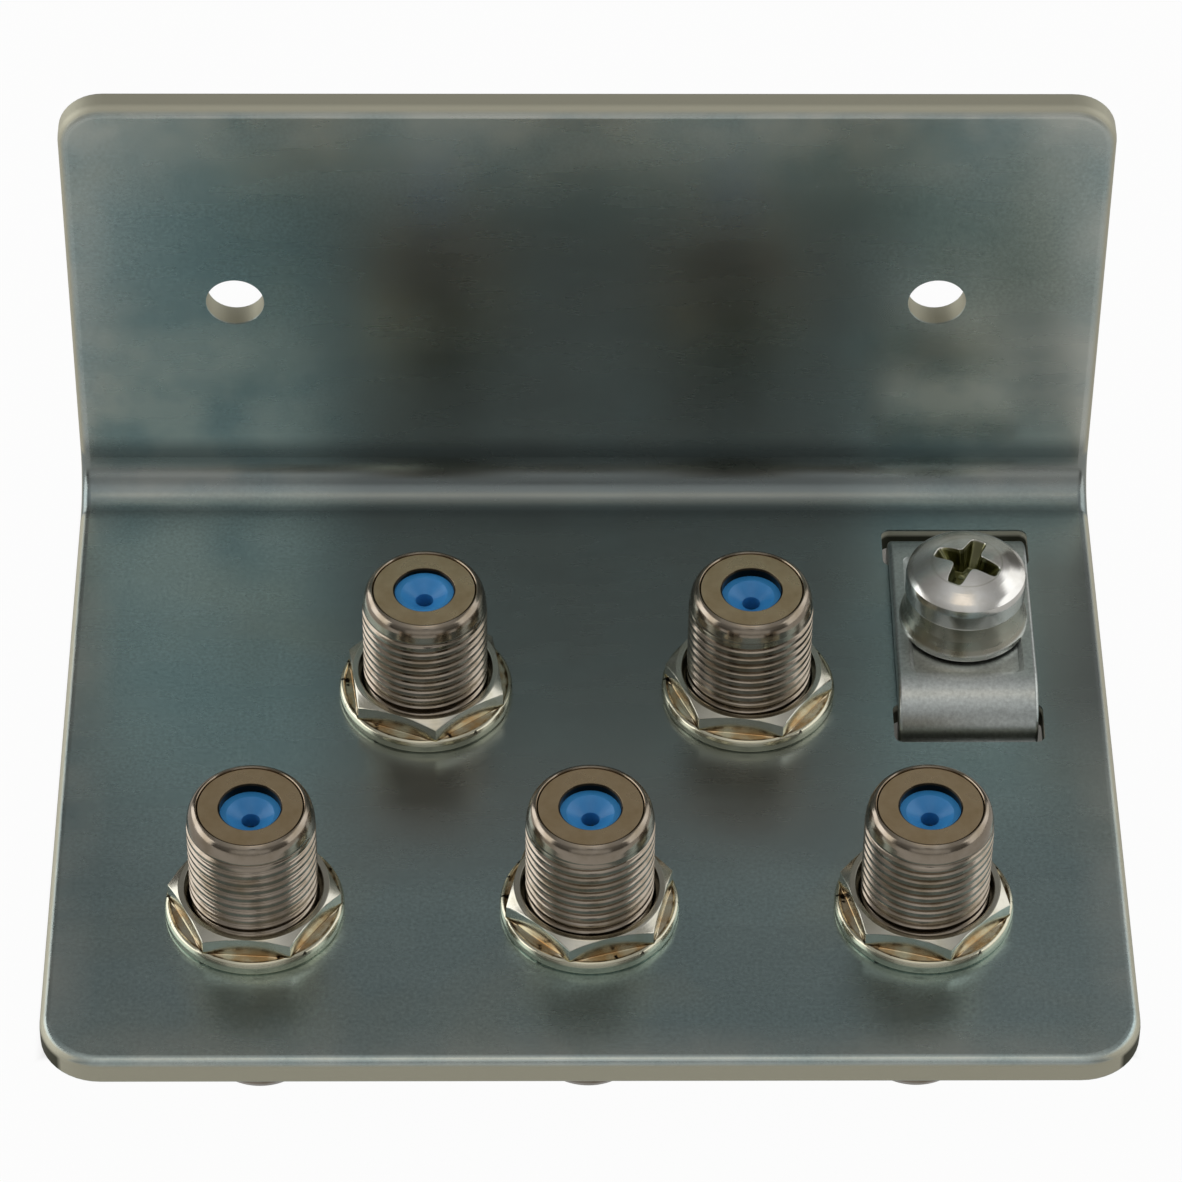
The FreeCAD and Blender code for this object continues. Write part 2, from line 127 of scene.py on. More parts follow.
# A zone's bounds: each gives a way, and where along it the zone begins and is full, in mm.
Zone = tuple[tuple[Way, float, float], ...]


def linear(code: str) -> tuple[float, float, float, float]:
    """Turn an sRGB hex colour into linear values.

    Args:
        code: six hex digits with a leading number sign.

    Returns:
        Red, green, blue and an alpha of one.
    """
    parts = [int(code[i:i + 2], 16) / 255.0 for i in (1, 3, 5)]
    low = [p / 12.92 if p <= 0.04045 else ((p + 0.055) / 1.055) ** 2.4 for p in parts]
    return (low[0], low[1], low[2], 1.0)


def add_node(
    tree: bpy.types.NodeTree, kind: str, inputs: dict | None = None, **settings: object
) -> bpy.types.Node:
    """Add one shader node with its settings, constants and links.

    Args:
        tree: the node tree that gets the node.
        kind: the node's type name.
        inputs: for a socket's name or number, a constant or the output that feeds it.
        settings: properties of the node itself.

    Returns:
        The new node.
    """
    made = tree.nodes.new(kind)
    for key, value in settings.items():
        setattr(made, key, value)
    for key, value in (inputs or {}).items():
        if isinstance(value, bpy.types.NodeSocket):
            tree.links.new(value, made.inputs[key])
        else:
            made.inputs[key].default_value = value
    return made


def blank_material(name: str) -> bpy.types.Material:
    """Make a material whose node tree is empty.

    Args:
        name: the material's name.

    Returns:
        The new material.
    """
    made = bpy.data.materials.new(name)
    made.use_nodes = True
    made.node_tree.nodes.clear()
    return made


def smooth(x: np.ndarray) -> np.ndarray:
    """Ease from 0 to 1: three squares less two cubes of x, with x kept in that range."""
    x = np.clip(x, 0.0, 1.0)
    return x * x * (3.0 - 2.0 * x)


def around(columns: int, arms: float = 0.0, turn: float = 0.0) -> np.ndarray:
    """Angles of a closed ring, with the first repeated at the end.

    Angle a is a less arms / 4 times the sine of four times (a - turn), which draws the
    columns together at four arms where arms is above 0.

    Args:
        columns: how many steps the ring has.
        arms: how strongly the columns gather, from 0 to 1.
        turn: angle of one arm.

    Returns:
        columns + 1 angles in radians.
    """
    even = np.linspace(0.0, FULL_TURN, columns + 1)
    return even - arms / 4.0 * (np.sin(4.0 * (even - turn)) + np.sin(4.0 * turn))


def hex_radius(angles: np.ndarray, across_flats: float) -> np.ndarray:
    """Radius of a hexagon: half its width over the cosine of the angle from the flat."""
    from_flat = np.mod(angles, math.pi / 3.0) - math.pi / 6.0
    return across_flats / 2.0 / np.cos(from_flat)


def softened(
    points: list[tuple], columns: int, edge: float, closed: bool
) -> tuple[np.ndarray, np.ndarray]:
    """Turn a profile's corners into small rounds.

    Each corner P between neighbours N and M becomes five rows: two on the run from N,
    one at a quarter of each of the two inner ones plus half of P, and two on the run to M.

    Args:
        points: (radius, height) corners, each a number or one value for each column.
        columns: number of values in a row.
        edge: size of the round, at most a third of a run.
        closed: whether the last corner runs on to the first.

    Returns:
        Radii and heights as rows by columns.
    """
    near_most, far_step, far_most = 0.3, 1.7, 0.45
    spots = np.array([
        [np.broadcast_to(r, columns), np.broadcast_to(z, columns)] for r, z in points
    ])
    count = len(spots)
    rows = []
    for i in range(count):
        spot = spots[i]
        if not closed and i in (0, count - 1):
            rows.append(spot)
            continue
        sides = []
        for other in (spots[i - 1], spots[(i + 1) % count]):
            run = other - spot
            length = np.maximum(np.hypot(run[0], run[1]), 1e-9)
            near = np.minimum(edge / length, near_most)
            far = np.minimum(far_step * edge / length, far_most)
            sides.append((spot + run * near, spot + run * far))
        (before, before_far), (after, after_far) = sides
        rows += [before_far, before, 0.25 * before + 0.5 * spot + 0.25 * after, after, after_far]
    if closed:
        rows.append(rows[0])
    stack = np.array(rows)
    return stack[:, 0], stack[:, 1]


@dataclass(frozen=True)
class Thread:
    """A right-hand helical thread on a shaft, with rounded crests and roots.

    Lengths are in mm.

    Attributes:
        crest_r: radius over the crests.
        pitch: height of one turn.
        depth: depth of the groove.
        low: height where the thread starts.
        high: height where it ends.
        runout: height over which the groove fades at each end.
        rows_per_turn: rows of the mesh for each turn.
        phase: share of a turn by which the thread is turned.
        crest: half the width of a crest, in turns.
        flank: width of a flank, in turns.
        straight: how straight a flank is, where 0 is fully eased.
    """

    crest_r: float
    pitch: float
    depth: float
    low: float
    high: float
    runout: float
    rows_per_turn: int = 14
    phase: float = 0.0
    crest: float = 0.21
    flank: float = 0.22
    straight: float = 0.7

    def rows(self, angles: np.ndarray) -> tuple[np.ndarray, np.ndarray]:
        """Work out the rows of the thread.

        Row t at angle a has the height low + pitch * (t + a / full turn), kept within the
        ends, so rows follow the helix. With c as the distance from a crest in turns, x is
        (c - crest) / flank kept from 0 to 1. The radius is crest_r less the depth times a
        blend of x and the ease of x, and the groove fades out towards both ends.

        Args:
            angles: the ring's angles, first one repeated.

        Returns:
            Radii and heights as rows by columns.
        """
        turns = (self.high - self.low) / self.pitch
        steps = int(math.ceil((turns + 1.0) * self.rows_per_turn)) + 1
        t = -1.0 + np.arange(steps + 1)[:, None] / self.rows_per_turn
        raw = t + angles[None, :] / FULL_TURN
        height = np.clip(self.low + self.pitch * raw, self.low, self.high)
        along = (height - self.low) / self.pitch - angles[None, :] / FULL_TURN + self.phase
        from_crest = np.abs(np.mod(along + 0.5, 1.0) - 0.5)
        x = np.clip((from_crest - self.crest) / self.flank, 0.0, 1.0)
        groove = self.straight * x + (1.0 - self.straight) * smooth(x)
        from_low, from_high = height - self.low, self.high - height
        fade = smooth(from_low / self.runout) * smooth(from_high / self.runout)
        return self.crest_r - self.depth * groove * fade, height


def write_mesh(
    name: str, radii: np.ndarray, heights: np.ndarray, angles: np.ndarray, centre: Vector,
    turn: float = 0.0,
) -> bpy.types.Object:
    """Write a turned surface as an object at the origin.

    A point is at (r cos a, r sin a, z) about the centre, with r and z given for each row
    and column. Rows run so that faces look outwards: up outside and down inside.

    Args:
        name: the object's name.
        radii: rows by columns, in mm.
        heights: rows by columns, in mm above the centre.
        angles: angle of each column, first one repeated.
        centre: the axis at height 0, in metres.
        turn: angle that the finished surface is turned by, in radians.

    Returns:
        The new object.
    """
    rows, columns = radii.shape
    spin = angles[None, :] + turn
    points = np.stack([radii * np.cos(spin), radii * np.sin(spin), heights], axis=-1) * MM
    points = points.reshape(-1, 3) + np.array(centre)
    index = np.arange(rows * columns).reshape(rows, columns)
    corners = [index[:-1, :-1], index[:-1, 1:], index[1:, 1:], index[1:, :-1]]
    quads = np.stack(corners, axis=-1).reshape(-1, 4)
    mesh = bpy.data.meshes.new(name)
    mesh.from_pydata(points.tolist(), [], quads.tolist())
    edit = bmesh.new()
    edit.from_mesh(mesh)
    bmesh.ops.remove_doubles(edit, verts=edit.verts, dist=MERGE_MM * MM)
    edit.to_mesh(mesh)
    edit.free()
    mesh.polygons.foreach_set("use_smooth", np.ones(len(mesh.polygons), dtype=bool))
    mesh.set_sharp_from_angle(angle=SHARP_ANGLE)
    mesh.update()
    piece = bpy.data.objects.new(name, mesh)
    bpy.context.scene.collection.objects.link(piece)
    return piece


def stack_rows(*parts: tuple[np.ndarray, np.ndarray]) -> tuple[np.ndarray, np.ndarray]:
    """Put several (radii, heights) blocks of rows on top of each other."""
    return np.vstack([p[0] for p in parts]), np.vstack([p[1] for p in parts])


def node_centre(node: str) -> Vector:
    """Find an upright piece's axis.

    Args:
        node: the CAD node's name.

    Returns:
        The middle of its box in plan, at the height of the plate's upper face.
    """
    low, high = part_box(node)
    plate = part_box("front_middle_flange_nut")[0].z
    return Vector(((low.x + high.x) / 2.0, (low.y + high.y) / 2.0, plate))


@dataclass(frozen=True)
class ZincPlate:
    """Sheet steel with bright zinc plate, rolled at the mill, pressed and then plated: cool
    grey with a soft, slightly cloudy reflection, fine grain and a hint of blue and straw.

    Attributes:
        cool: colour of the clear plate.
        straw: colour of its yellowed patches.
        dull: colour of its dull clouds.
        roughness: middle value, which streaks vary by spread.
        spread: how far the streaks go from it.
        cloud_mm: size of the clouds.
        grain_mm: size of the grain, coarser than the real crystals so that it shows.
        streak_mm: width of the rolling streaks.
        streak_run: how much slower the streaks change along the rolling direction.
    """

    cool: str = "#B0C4C5"
    straw: str = "#C0C6B8"
    dull: str = "#A5BABC"
    roughness: float = 0.27
    spread: float = 0.03
    cloud_mm: float = 13.0
    grain_mm: float = 0.28
    streak_mm: float = 3.0
    streak_run: float = 0.25

    def tint(self, tree: bpy.types.NodeTree, place: bpy.types.NodeSocket) -> bpy.types.NodeSocket:
        """Colour of the plate: broad clouds of cool, dull and straw with a fine grain.

        Args:
            tree: the material's nodes.
            place: Object coordinates.

        Returns:
            The colour.
        """
        cloud = add_node(tree, "ShaderNodeTexNoise", {
            "Vector": place, "Scale": 1.0 / (self.cloud_mm * MM), "Detail": 3.0, "Roughness": 0.55,
        })
        stain = add_node(tree, "ShaderNodeTexNoise", {
            "Vector": place, "Scale": 0.6 / (self.cloud_mm * MM), "Detail": 3.0, "Distortion": 0.4,
        })
        grain = add_node(tree, "ShaderNodeTexNoise", {
            "Vector": place, "Scale": 1.0 / (self.grain_mm * MM), "Detail": 3.0, "Roughness": 0.6,
        })
        clouds = add_node(tree, "ShaderNodeMapRange", {0: cloud.outputs[0], 1: 0.36, 2: 0.66})
        stains = add_node(tree, "ShaderNodeMapRange", {
            0: stain.outputs[0], 1: 0.5, 2: 0.72, 4: 0.6,
        })
        fine = add_node(tree, "ShaderNodeMapRange", {
            0: grain.outputs[0], 1: 0.25, 2: 0.75, 3: 0.8, 4: 1.18,
        })
        plain = add_node(tree, "ShaderNodeMix", {
            0: clouds.outputs[0], 6: linear(self.dull), 7: linear(self.cool),
        }, data_type="RGBA")
        flange_tinted = add_node(tree, "ShaderNodeMix", {
            0: stains.outputs[0], 6: plain.outputs[2], 7: linear(self.straw),
        }, data_type="RGBA")
        grained = add_node(tree, "ShaderNodeVectorMath", {
            0: flange_tinted.outputs[2], 3: fine.outputs[0],
        }, operation="SCALE")
        return grained.outputs[0]

    def gloss(self, tree: bpy.types.NodeTree, place: bpy.types.NodeSocket) -> bpy.types.NodeSocket:
        """Roughness of the plate, streaked a little along the rolling direction.

        Args:
            tree: the material's nodes.
            place: Object coordinates.

        Returns:
            The roughness.
        """
        rolled = add_node(tree, "ShaderNodeMapping", {
            "Vector": place, "Scale": (self.streak_run, 1.0, 1.0),
        })
        streak = add_node(tree, "ShaderNodeTexNoise", {
            "Vector": rolled.outputs[0], "Scale": 1.0 / (self.streak_mm * MM), "Detail": 4.0,
            "Roughness": 0.6,
        })
        rough = add_node(tree, "ShaderNodeMapRange", {
            0: streak.outputs[0], 1: 0.3, 2: 0.7,
            3: self.roughness - self.spread, 4: self.roughness + self.spread,
        })
        return rough.outputs[0]

    def metal(
        self, tree: bpy.types.NodeTree, place: bpy.types.NodeSocket
    ) -> bpy.types.NodeSocket | float:
        """How metallic the surface is: bare metal all over."""
        return 1.0

    def material(self, name: str) -> bpy.types.Material:
        """Build the material.

        Args:
            name: the material's name.

        Returns:
            The new material, on Object coordinates.
        """
        made = blank_material(name)
        tree = made.node_tree
        place = add_node(tree, "ShaderNodeTexCoord").outputs["Object"]
        surface = add_node(tree, "ShaderNodeBsdfPrincipled", {
            "Base Color": self.tint(tree, place), "Metallic": self.metal(tree, place),
            "Roughness": self.gloss(tree, place),
        })
        add_node(tree, "ShaderNodeOutputMaterial", {"Surface": surface.outputs[0]})
        return made


@dataclass(frozen=True)
class BracketPlate(ZincPlate):
    """The same plate on the bracket, with painted light that makes it paler towards the rim, and
    painted shade in a broad patch across its middle, beside the clamp and in the fold. It is cream
    and dull on the sheared edges, where the zinc lies on the cut steel, with painted shade over
    their lower half. The rolled rims of the clamp's slots are chalky and less metallic.

    Attributes:
        rim: colour towards the rim, a painted light.
        painted_shade: colour of the painted shade across the middle and beside the clamp.
        fold_shade: colour of the painted shade in the fold.
        sheared: colour of the sheared edges.
        cut_shade: colour of their lower half, a painted shade.
        sheared_roughness: roughness of the sheared edges.
        chalky: how metallic the slots' rims are.
        fold_share: how strongly the painted shade in the fold shows.
        waver_mm: size of the noise that breaks up the painted light at the rim and the painted
            shade.
        painted_shade_x: middle of the painted shade, in mm from the middle.
        painted_light_rims: zones that are paler with painted light; the strongest one holds.
        painted_shade_zone: the patch of painted shade across the wall and the plate.
        clamp_shade_zone: the patch of painted shade on the plate at the clamp's right.
        fold_zone: the foot of the wall, where the fold's painted shade lies.
        cut_shade_zone: the lower half of the cut edges behind the front one, which takes the
            painted shade.
        slot_zone: the upper half of the slots' walls.
        plate_edge: the plate's edges between its two faces.
        front_zone: the front edge, which keeps its plating down to rolled_zone.
        rolled_zone: where the front edge's rounded brow ends.
        wall_edge: the wall's edges between its two faces.
        side_edge: the sides at the full width.
    """

    rim: str = "#DADFD8"
    painted_shade: str = "#9CA4A2"
    fold_shade: str = "#6C7475"
    sheared: str = "#D0CEBC"
    cut_shade: str = "#5C5D50"
    sheared_roughness: float = 0.65
    chalky: float = 0.15
    fold_share: float = 0.6
    waver_mm: float = 6.0
    painted_shade_x: float = 1.5
    painted_light_rims: tuple[Zone, ...] = (
        ((Way.SIDE, HALF_WIDTH - 4.0, HALF_WIDTH + 3.0),),
        ((Way.HEIGHT, WALL_TOP - 10.0, WALL_TOP + 1.0),),
        ((Way.DEPTH, FRONT_Y + 4.0, FRONT_Y - 3.0),),
        ((Way.SIDE, 14.0, 28.0), (Way.HEIGHT, 3.0, -8.0), (Way.DEPTH, -4.5, -2.5)),
    )
    painted_shade_zone: Zone = (
        (Way.ASIDE, 26.0, 16.0), (Way.HEIGHT, 17.0, 4.0), (Way.DEPTH, -48.0, -37.0),
    )
    clamp_shade_zone: Zone = (
        (Way.ACROSS, 31.0, 36.0), (Way.DEPTH, -36.0, -26.0), (Way.DEPTH, -5.0, -12.0),
    )
    fold_zone: Zone = ((Way.HEIGHT, -14.0, -15.5), (Way.DEPTH, -6.0, -5.0))
    cut_shade_zone: Zone = (
        (Way.HEIGHT, PLATE_Z - 0.5, PLATE_Z - 0.8), (Way.DEPTH, FRONT_Y + 1.0, FRONT_Y + 1.3),
    )
    slot_zone: Zone = (
        (Way.HEIGHT, PLATE_Z - 0.8, PLATE_Z - 0.5), (Way.ACROSS, 20.0, 21.0),
        (Way.ACROSS, 38.5, 38.0), (Way.DEPTH, -35.0, -34.0), (Way.DEPTH, -5.5, -6.0),
    )
    plate_edge: Zone = (
        (Way.HEIGHT, PLATE_Z - 0.06, PLATE_Z - 0.2),
        (Way.HEIGHT, PLATE_Z - SHEET, PLATE_Z - SHEET + 0.06), (Way.DEPTH, -5.0, -5.5),
    )
    front_zone: Zone = ((Way.DEPTH, FRONT_Y + 0.8, FRONT_Y + 0.3),)
    rolled_zone: Zone = ((Way.HEIGHT, PLATE_Z - 0.3, PLATE_Z - 0.5),)
    wall_edge: Zone = (
        (Way.DEPTH, 0.03 - SHEET, 0.25 - SHEET), (Way.DEPTH, -0.01, -0.05),
        (Way.HEIGHT, PLATE_Z + 3.0, PLATE_Z + 3.5),
    )
    side_edge: Zone = ((Way.SIDE, HALF_WIDTH - 0.12, HALF_WIDTH - 0.02),)

    def ways(
        self, tree: bpy.types.NodeTree, place: bpy.types.NodeSocket
    ) -> dict[Way, bpy.types.NodeSocket]:
        """Work out where a point lies along each way.

        Args:
            tree: the material's nodes.
            place: Object coordinates.

        Returns:
            The value for each way, in metres.
        """
        x, y, z = add_node(tree, "ShaderNodeSeparateXYZ", {0: place}).outputs
        side = add_node(tree, "ShaderNodeMath", {0: x}, operation="ABSOLUTE")
        aside = add_node(tree, "ShaderNodeMath", {
            0: x, 1: self.painted_shade_x * MM,
        }, operation="SUBTRACT")
        aside = add_node(tree, "ShaderNodeMath", {0: aside.outputs[0]}, operation="ABSOLUTE")
        return {
            Way.ACROSS: x, Way.DEPTH: y, Way.HEIGHT: z,
            Way.SIDE: side.outputs[0], Way.ASIDE: aside.outputs[0],
        }

    def within(
        self, tree: bpy.types.NodeTree, ways: dict[Way, bpy.types.NodeSocket], zone: Zone,
        share: bpy.types.NodeSocket | float = 1.0, ramp: str = "LINEAR",
    ) -> bpy.types.NodeSocket:
        """How far a point lies inside a zone: a share times one ramp for each bound.

        Args:
            tree: the material's nodes.
            ways: where the point lies along each way.
            zone: the bounds.
            share: what the ramps multiply.
            ramp: how each ramp runs, as Map Range names it.

        Returns:
            The product, kept from 0 to 1.
        """
        for way, start, end in zone:
            inside = add_node(tree, "ShaderNodeMapRange", {
                0: ways[way], 1: start * MM, 2: end * MM,
            }, interpolation_type=ramp)
            share = add_node(tree, "ShaderNodeMath", {
                0: share, 1: inside.outputs[0],
            }, operation="MULTIPLY", use_clamp=True).outputs[0]
        return share

    def strongest(
        self, tree: bpy.types.NodeTree, shares: list[bpy.types.NodeSocket]
    ) -> bpy.types.NodeSocket:
        """The largest of several shares.

        Args:
            tree: the material's nodes.
            shares: the shares to compare.

        Returns:
            The largest one.
        """
        most = shares[0]
        for other in shares[1:]:
            most = add_node(tree, "ShaderNodeMath", {
                0: most, 1: other,
            }, operation="MAXIMUM").outputs[0]
        return most

    def shear(
        self, tree: bpy.types.NodeTree, ways: dict[Way, bpy.types.NodeSocket]
    ) -> bpy.types.NodeSocket:
        """How far a point lies on a sheared edge: inside the sheet's thickness.

        The plate's edges lie between its two faces in height, the wall's between its two
        faces in depth, and the sides at the full width.

        Args:
            tree: the material's nodes.
            ways: where the point lies along each way.

        Returns:
            The largest of the three shares.
        """
        front = self.within(tree, ways, self.front_zone)
        behind = add_node(tree, "ShaderNodeMath", {0: 1.0, 1: front}, operation="SUBTRACT")
        bare = self.strongest(tree, [
            behind.outputs[0], self.within(tree, ways, self.rolled_zone),
        ])
        return self.strongest(tree, [
            self.within(tree, ways, self.plate_edge, bare),
            self.within(tree, ways, self.wall_edge),
            self.within(tree, ways, self.side_edge),
        ])

    def tint(self, tree: bpy.types.NodeTree, place: bpy.types.NodeSocket) -> bpy.types.NodeSocket:
        """Colour of the plate with its painted light towards the rim, its painted shade and its
        sheared edges.

        Args:
            tree: the material's nodes.
            place: Object coordinates.

        Returns:
            The colour.
        """
        ways = self.ways(tree, place)
        waver = add_node(tree, "ShaderNodeTexNoise", {
            "Vector": place, "Scale": 1.0 / (self.waver_mm * MM), "Detail": 3.0,
        }).outputs[0]
        patchy = add_node(tree, "ShaderNodeMapRange", {0: waver, 1: 0.3, 2: 0.7, 3: 0.2, 4: 1.5})
        # Painted light: paler towards the rim, broken up by noise.
        near = self.strongest(tree, [self.within(tree, ways, zone) for zone in self.painted_light_rims])
        near = add_node(tree, "ShaderNodeMath", {
            0: near, 1: patchy.outputs[0],
        }, operation="MULTIPLY", use_clamp=True)
        rim_lit = add_node(tree, "ShaderNodeMix", {
            0: near.outputs[0], 6: super().tint(tree, place), 7: linear(self.rim),
        }, data_type="RGBA")
        even = add_node(tree, "ShaderNodeMapRange", {0: waver, 1: 0.3, 2: 0.7, 3: 0.8, 4: 1.1})
        # Painted shade: a broad darker patch across the middle, and one beside the clamp.
        patch = self.strongest(tree, [
            self.within(tree, ways, self.painted_shade_zone, even.outputs[0], "SMOOTHSTEP"),
            self.within(tree, ways, self.clamp_shade_zone),
        ])
        shaded = add_node(tree, "ShaderNodeMix", {
            0: patch, 6: rim_lit.outputs[2], 7: linear(self.painted_shade),
        }, data_type="RGBA")
        # Painted shade in the fold.
        fold_shaded = add_node(tree, "ShaderNodeMix", {
            0: self.within(tree, ways, self.fold_zone, self.fold_share),
            6: shaded.outputs[2], 7: linear(self.fold_shade),
        }, data_type="RGBA")
        # The cut edges, with painted shade over their lower half.
        cut = add_node(tree, "ShaderNodeMix", {
            0: self.within(tree, ways, self.cut_shade_zone),
            6: linear(self.sheared), 7: linear(self.cut_shade),
        }, data_type="RGBA")
        done = add_node(tree, "ShaderNodeMix", {
            0: self.shear(tree, ways), 6: fold_shaded.outputs[2], 7: cut.outputs[2],
        }, data_type="RGBA")
        return done.outputs[2]

    def gloss(self, tree: bpy.types.NodeTree, place: bpy.types.NodeSocket) -> bpy.types.NodeSocket:
        """Roughness of the plate, duller on the sheared edges.

        Args:
            tree: the material's nodes.
            place: Object coordinates.

        Returns:
            The roughness.
        """
        done = add_node(tree, "ShaderNodeMix", {
            0: self.shear(tree, self.ways(tree, place)), 2: super().gloss(tree, place),
            3: self.sheared_roughness,
        })
        return done.outputs[0]

    def metal(
        self, tree: bpy.types.NodeTree, place: bpy.types.NodeSocket
    ) -> bpy.types.NodeSocket | float:
        """How metallic the surface is: less so on the chalky rims of the clamp's slots.

        Args:
            tree: the material's nodes.
            place: Object coordinates.

        Returns:
            The metallic share.
        """
        ways = self.ways(tree, place)
        share = self.within(tree, ways, self.slot_zone, self.shear(tree, ways))
        done = add_node(tree, "ShaderNodeMapRange", {0: share, 3: 1.0, 4: self.chalky})
        return done.outputs[0]


@dataclass(frozen=True)
class StrapPlate(ZincPlate):
    """The same plate on the pressed strap, scuffed dull on the steep sides of its seat.

    Attributes:
        centre: middle of the seat in plan, in mm.
        seat: heights of the seat's floor and brim, in mm.
        seat_half: half the seat's width and depth, in mm.
        scuffed: roughness of the seat's sides.
    """

    centre: tuple[float, float] = (29.15, -18.75)
    seat: tuple[float, float] = (-17.73, -17.3)
    seat_half: tuple[float, float] = (4.7, 6.45)
    scuffed: float = 0.7

    def gloss(self, tree: bpy.types.NodeTree, place: bpy.types.NodeSocket) -> bpy.types.NodeSocket:
        """Roughness of the plate, duller between the heights of the seat's floor and brim.

        Args:
            tree: the material's nodes.
            place: Object coordinates.

        Returns:
            The roughness.
        """
        *plan, height = add_node(tree, "ShaderNodeSeparateXYZ", {0: place}).outputs
        floor, brim = self.seat
        ramps = [(height, floor + 0.01, floor + 0.05), (height, brim - 0.01, brim - 0.05)]
        for way, middle, half in zip(plan, self.centre, self.seat_half):
            off = add_node(tree, "ShaderNodeMath", {0: way, 1: middle * MM}, operation="SUBTRACT")
            off = add_node(tree, "ShaderNodeMath", {0: off.outputs[0]}, operation="ABSOLUTE")
            ramps.append((off.outputs[0], half + 0.05, half))
        share = 1.0
        for way, start, end in ramps:
            inside = add_node(tree, "ShaderNodeMapRange", {0: way, 1: start * MM, 2: end * MM})
            share = add_node(tree, "ShaderNodeMath", {
                0: share, 1: inside.outputs[0],
            }, operation="MULTIPLY").outputs[0]
        done = add_node(tree, "ShaderNodeMix", {
            0: share, 2: super().gloss(tree, place), 3: self.scuffed,
        })
        return done.outputs[0]


@dataclass(frozen=True)
class NickelPlate:
    """Nickel plate on a machined part: a warm grey mirror, dulled a little by the tool
    marks that run round the axis, which are drawn coarser than real ones so that they show.

    Attributes:
        base: the plate's colour.
        shade: colour of its blotches.
        roughness: middle value, which blotches vary by spread.
        spread: how far the blotches go from it.
        blotch_mm: size of the blotches.
        mark_mm: distance from one tool mark to the next.
        grain_mm: size of the fine grain between the marks.
        bump: strength of the marks' and the grain's relief.
        relief_mm: depth of that relief.
    """

    base: str = "#C9C0B7"
    shade: str = "#A99E93"
    roughness: float = 0.16
    spread: float = 0.05
    blotch_mm: float = 1.8
    mark_mm: float = 0.12
    grain_mm: float = 0.15
    bump: float = 0.08
    relief_mm: float = 0.01

    def polar(
        self, tree: bpy.types.NodeTree, about: bpy.types.NodeSocket
    ) -> tuple[bpy.types.NodeSocket, bpy.types.NodeSocket]:
        """Distance from the part's axis, and height.

        Args:
            tree: the material's nodes.
            about: Object coordinates about the part's axis.

        Returns:
            The radius and the height, in metres.
        """
        flat = add_node(tree, "ShaderNodeVectorMath", {
            0: about, 1: (1.0, 1.0, 0.0),
        }, operation="MULTIPLY")
        radius = add_node(tree, "ShaderNodeVectorMath", {0: flat.outputs[0]}, operation="LENGTH")
        height = add_node(tree, "ShaderNodeSeparateXYZ", {0: about}).outputs[2]
        return radius.outputs["Value"], height

    def tint(self, tree: bpy.types.NodeTree, about: bpy.types.NodeSocket) -> bpy.types.NodeSocket:
        """Colour of the plate, blotched between base and shade.

        Args:
            tree: the material's nodes.
            about: Object coordinates about the part's axis.

        Returns:
            The colour.
        """
        blotch = add_node(tree, "ShaderNodeTexNoise", {
            "Vector": about, "Scale": 1.0 / (self.blotch_mm * MM), "Detail": 4.0,
        })
        fade = add_node(tree, "ShaderNodeMapRange", {0: blotch.outputs[0], 1: 0.42, 2: 0.72})
        colour = add_node(tree, "ShaderNodeMix", {
            0: fade.outputs[0], 6: linear(self.base), 7: linear(self.shade),
        }, data_type="RGBA")
        return colour.outputs[2]

    def material(self, name: str, centre: Vector) -> bpy.types.Material:
        """Build the material about an upright axis.

        Args:
            name: the material's name.
            centre: the axis that the tool marks run round, in metres.

        Returns:
            The new material, on Object coordinates.
        """
        made = blank_material(name)
        tree = made.node_tree
        place = add_node(tree, "ShaderNodeTexCoord").outputs["Object"]
        about = add_node(tree, "ShaderNodeMapping", {
            "Vector": place, "Location": -centre,
        }).outputs[0]
        marks = add_node(tree, "ShaderNodeTexWave", {
            "Vector": about, "Scale": WAVE_LENGTH / (self.mark_mm * MM), "Distortion": 1.5,
            "Detail": 2.0, "Detail Scale": 0.6,
        }, wave_type="RINGS", rings_direction="Z")
        blotch = add_node(tree, "ShaderNodeTexNoise", {
            "Vector": about, "Scale": 1.0 / (self.blotch_mm * MM), "Detail": 4.0,
        })
        grain = add_node(tree, "ShaderNodeTexNoise", {
            "Vector": about, "Scale": 1.0 / (self.grain_mm * MM), "Detail": 2.0,
        })
        rough = add_node(tree, "ShaderNodeMapRange", {
            0: blotch.outputs[0], 1: 0.3, 2: 0.7,
            3: self.roughness - self.spread, 4: self.roughness + self.spread,
        })
        relief = add_node(tree, "ShaderNodeMath", {
            0: marks.outputs[1], 1: grain.outputs[0],
        }, operation="ADD")
        bump = add_node(tree, "ShaderNodeBump", {
            "Height": relief.outputs[0], "Strength": self.bump, "Distance": self.relief_mm * MM,
        })
        surface = add_node(tree, "ShaderNodeBsdfPrincipled", {
            "Base Color": self.tint(tree, about), "Metallic": 1.0,
            "Roughness": rough.outputs[0], "Normal": bump.outputs[0],
        })
        add_node(tree, "ShaderNodeOutputMaterial", {"Surface": surface.outputs[0]})
        return made


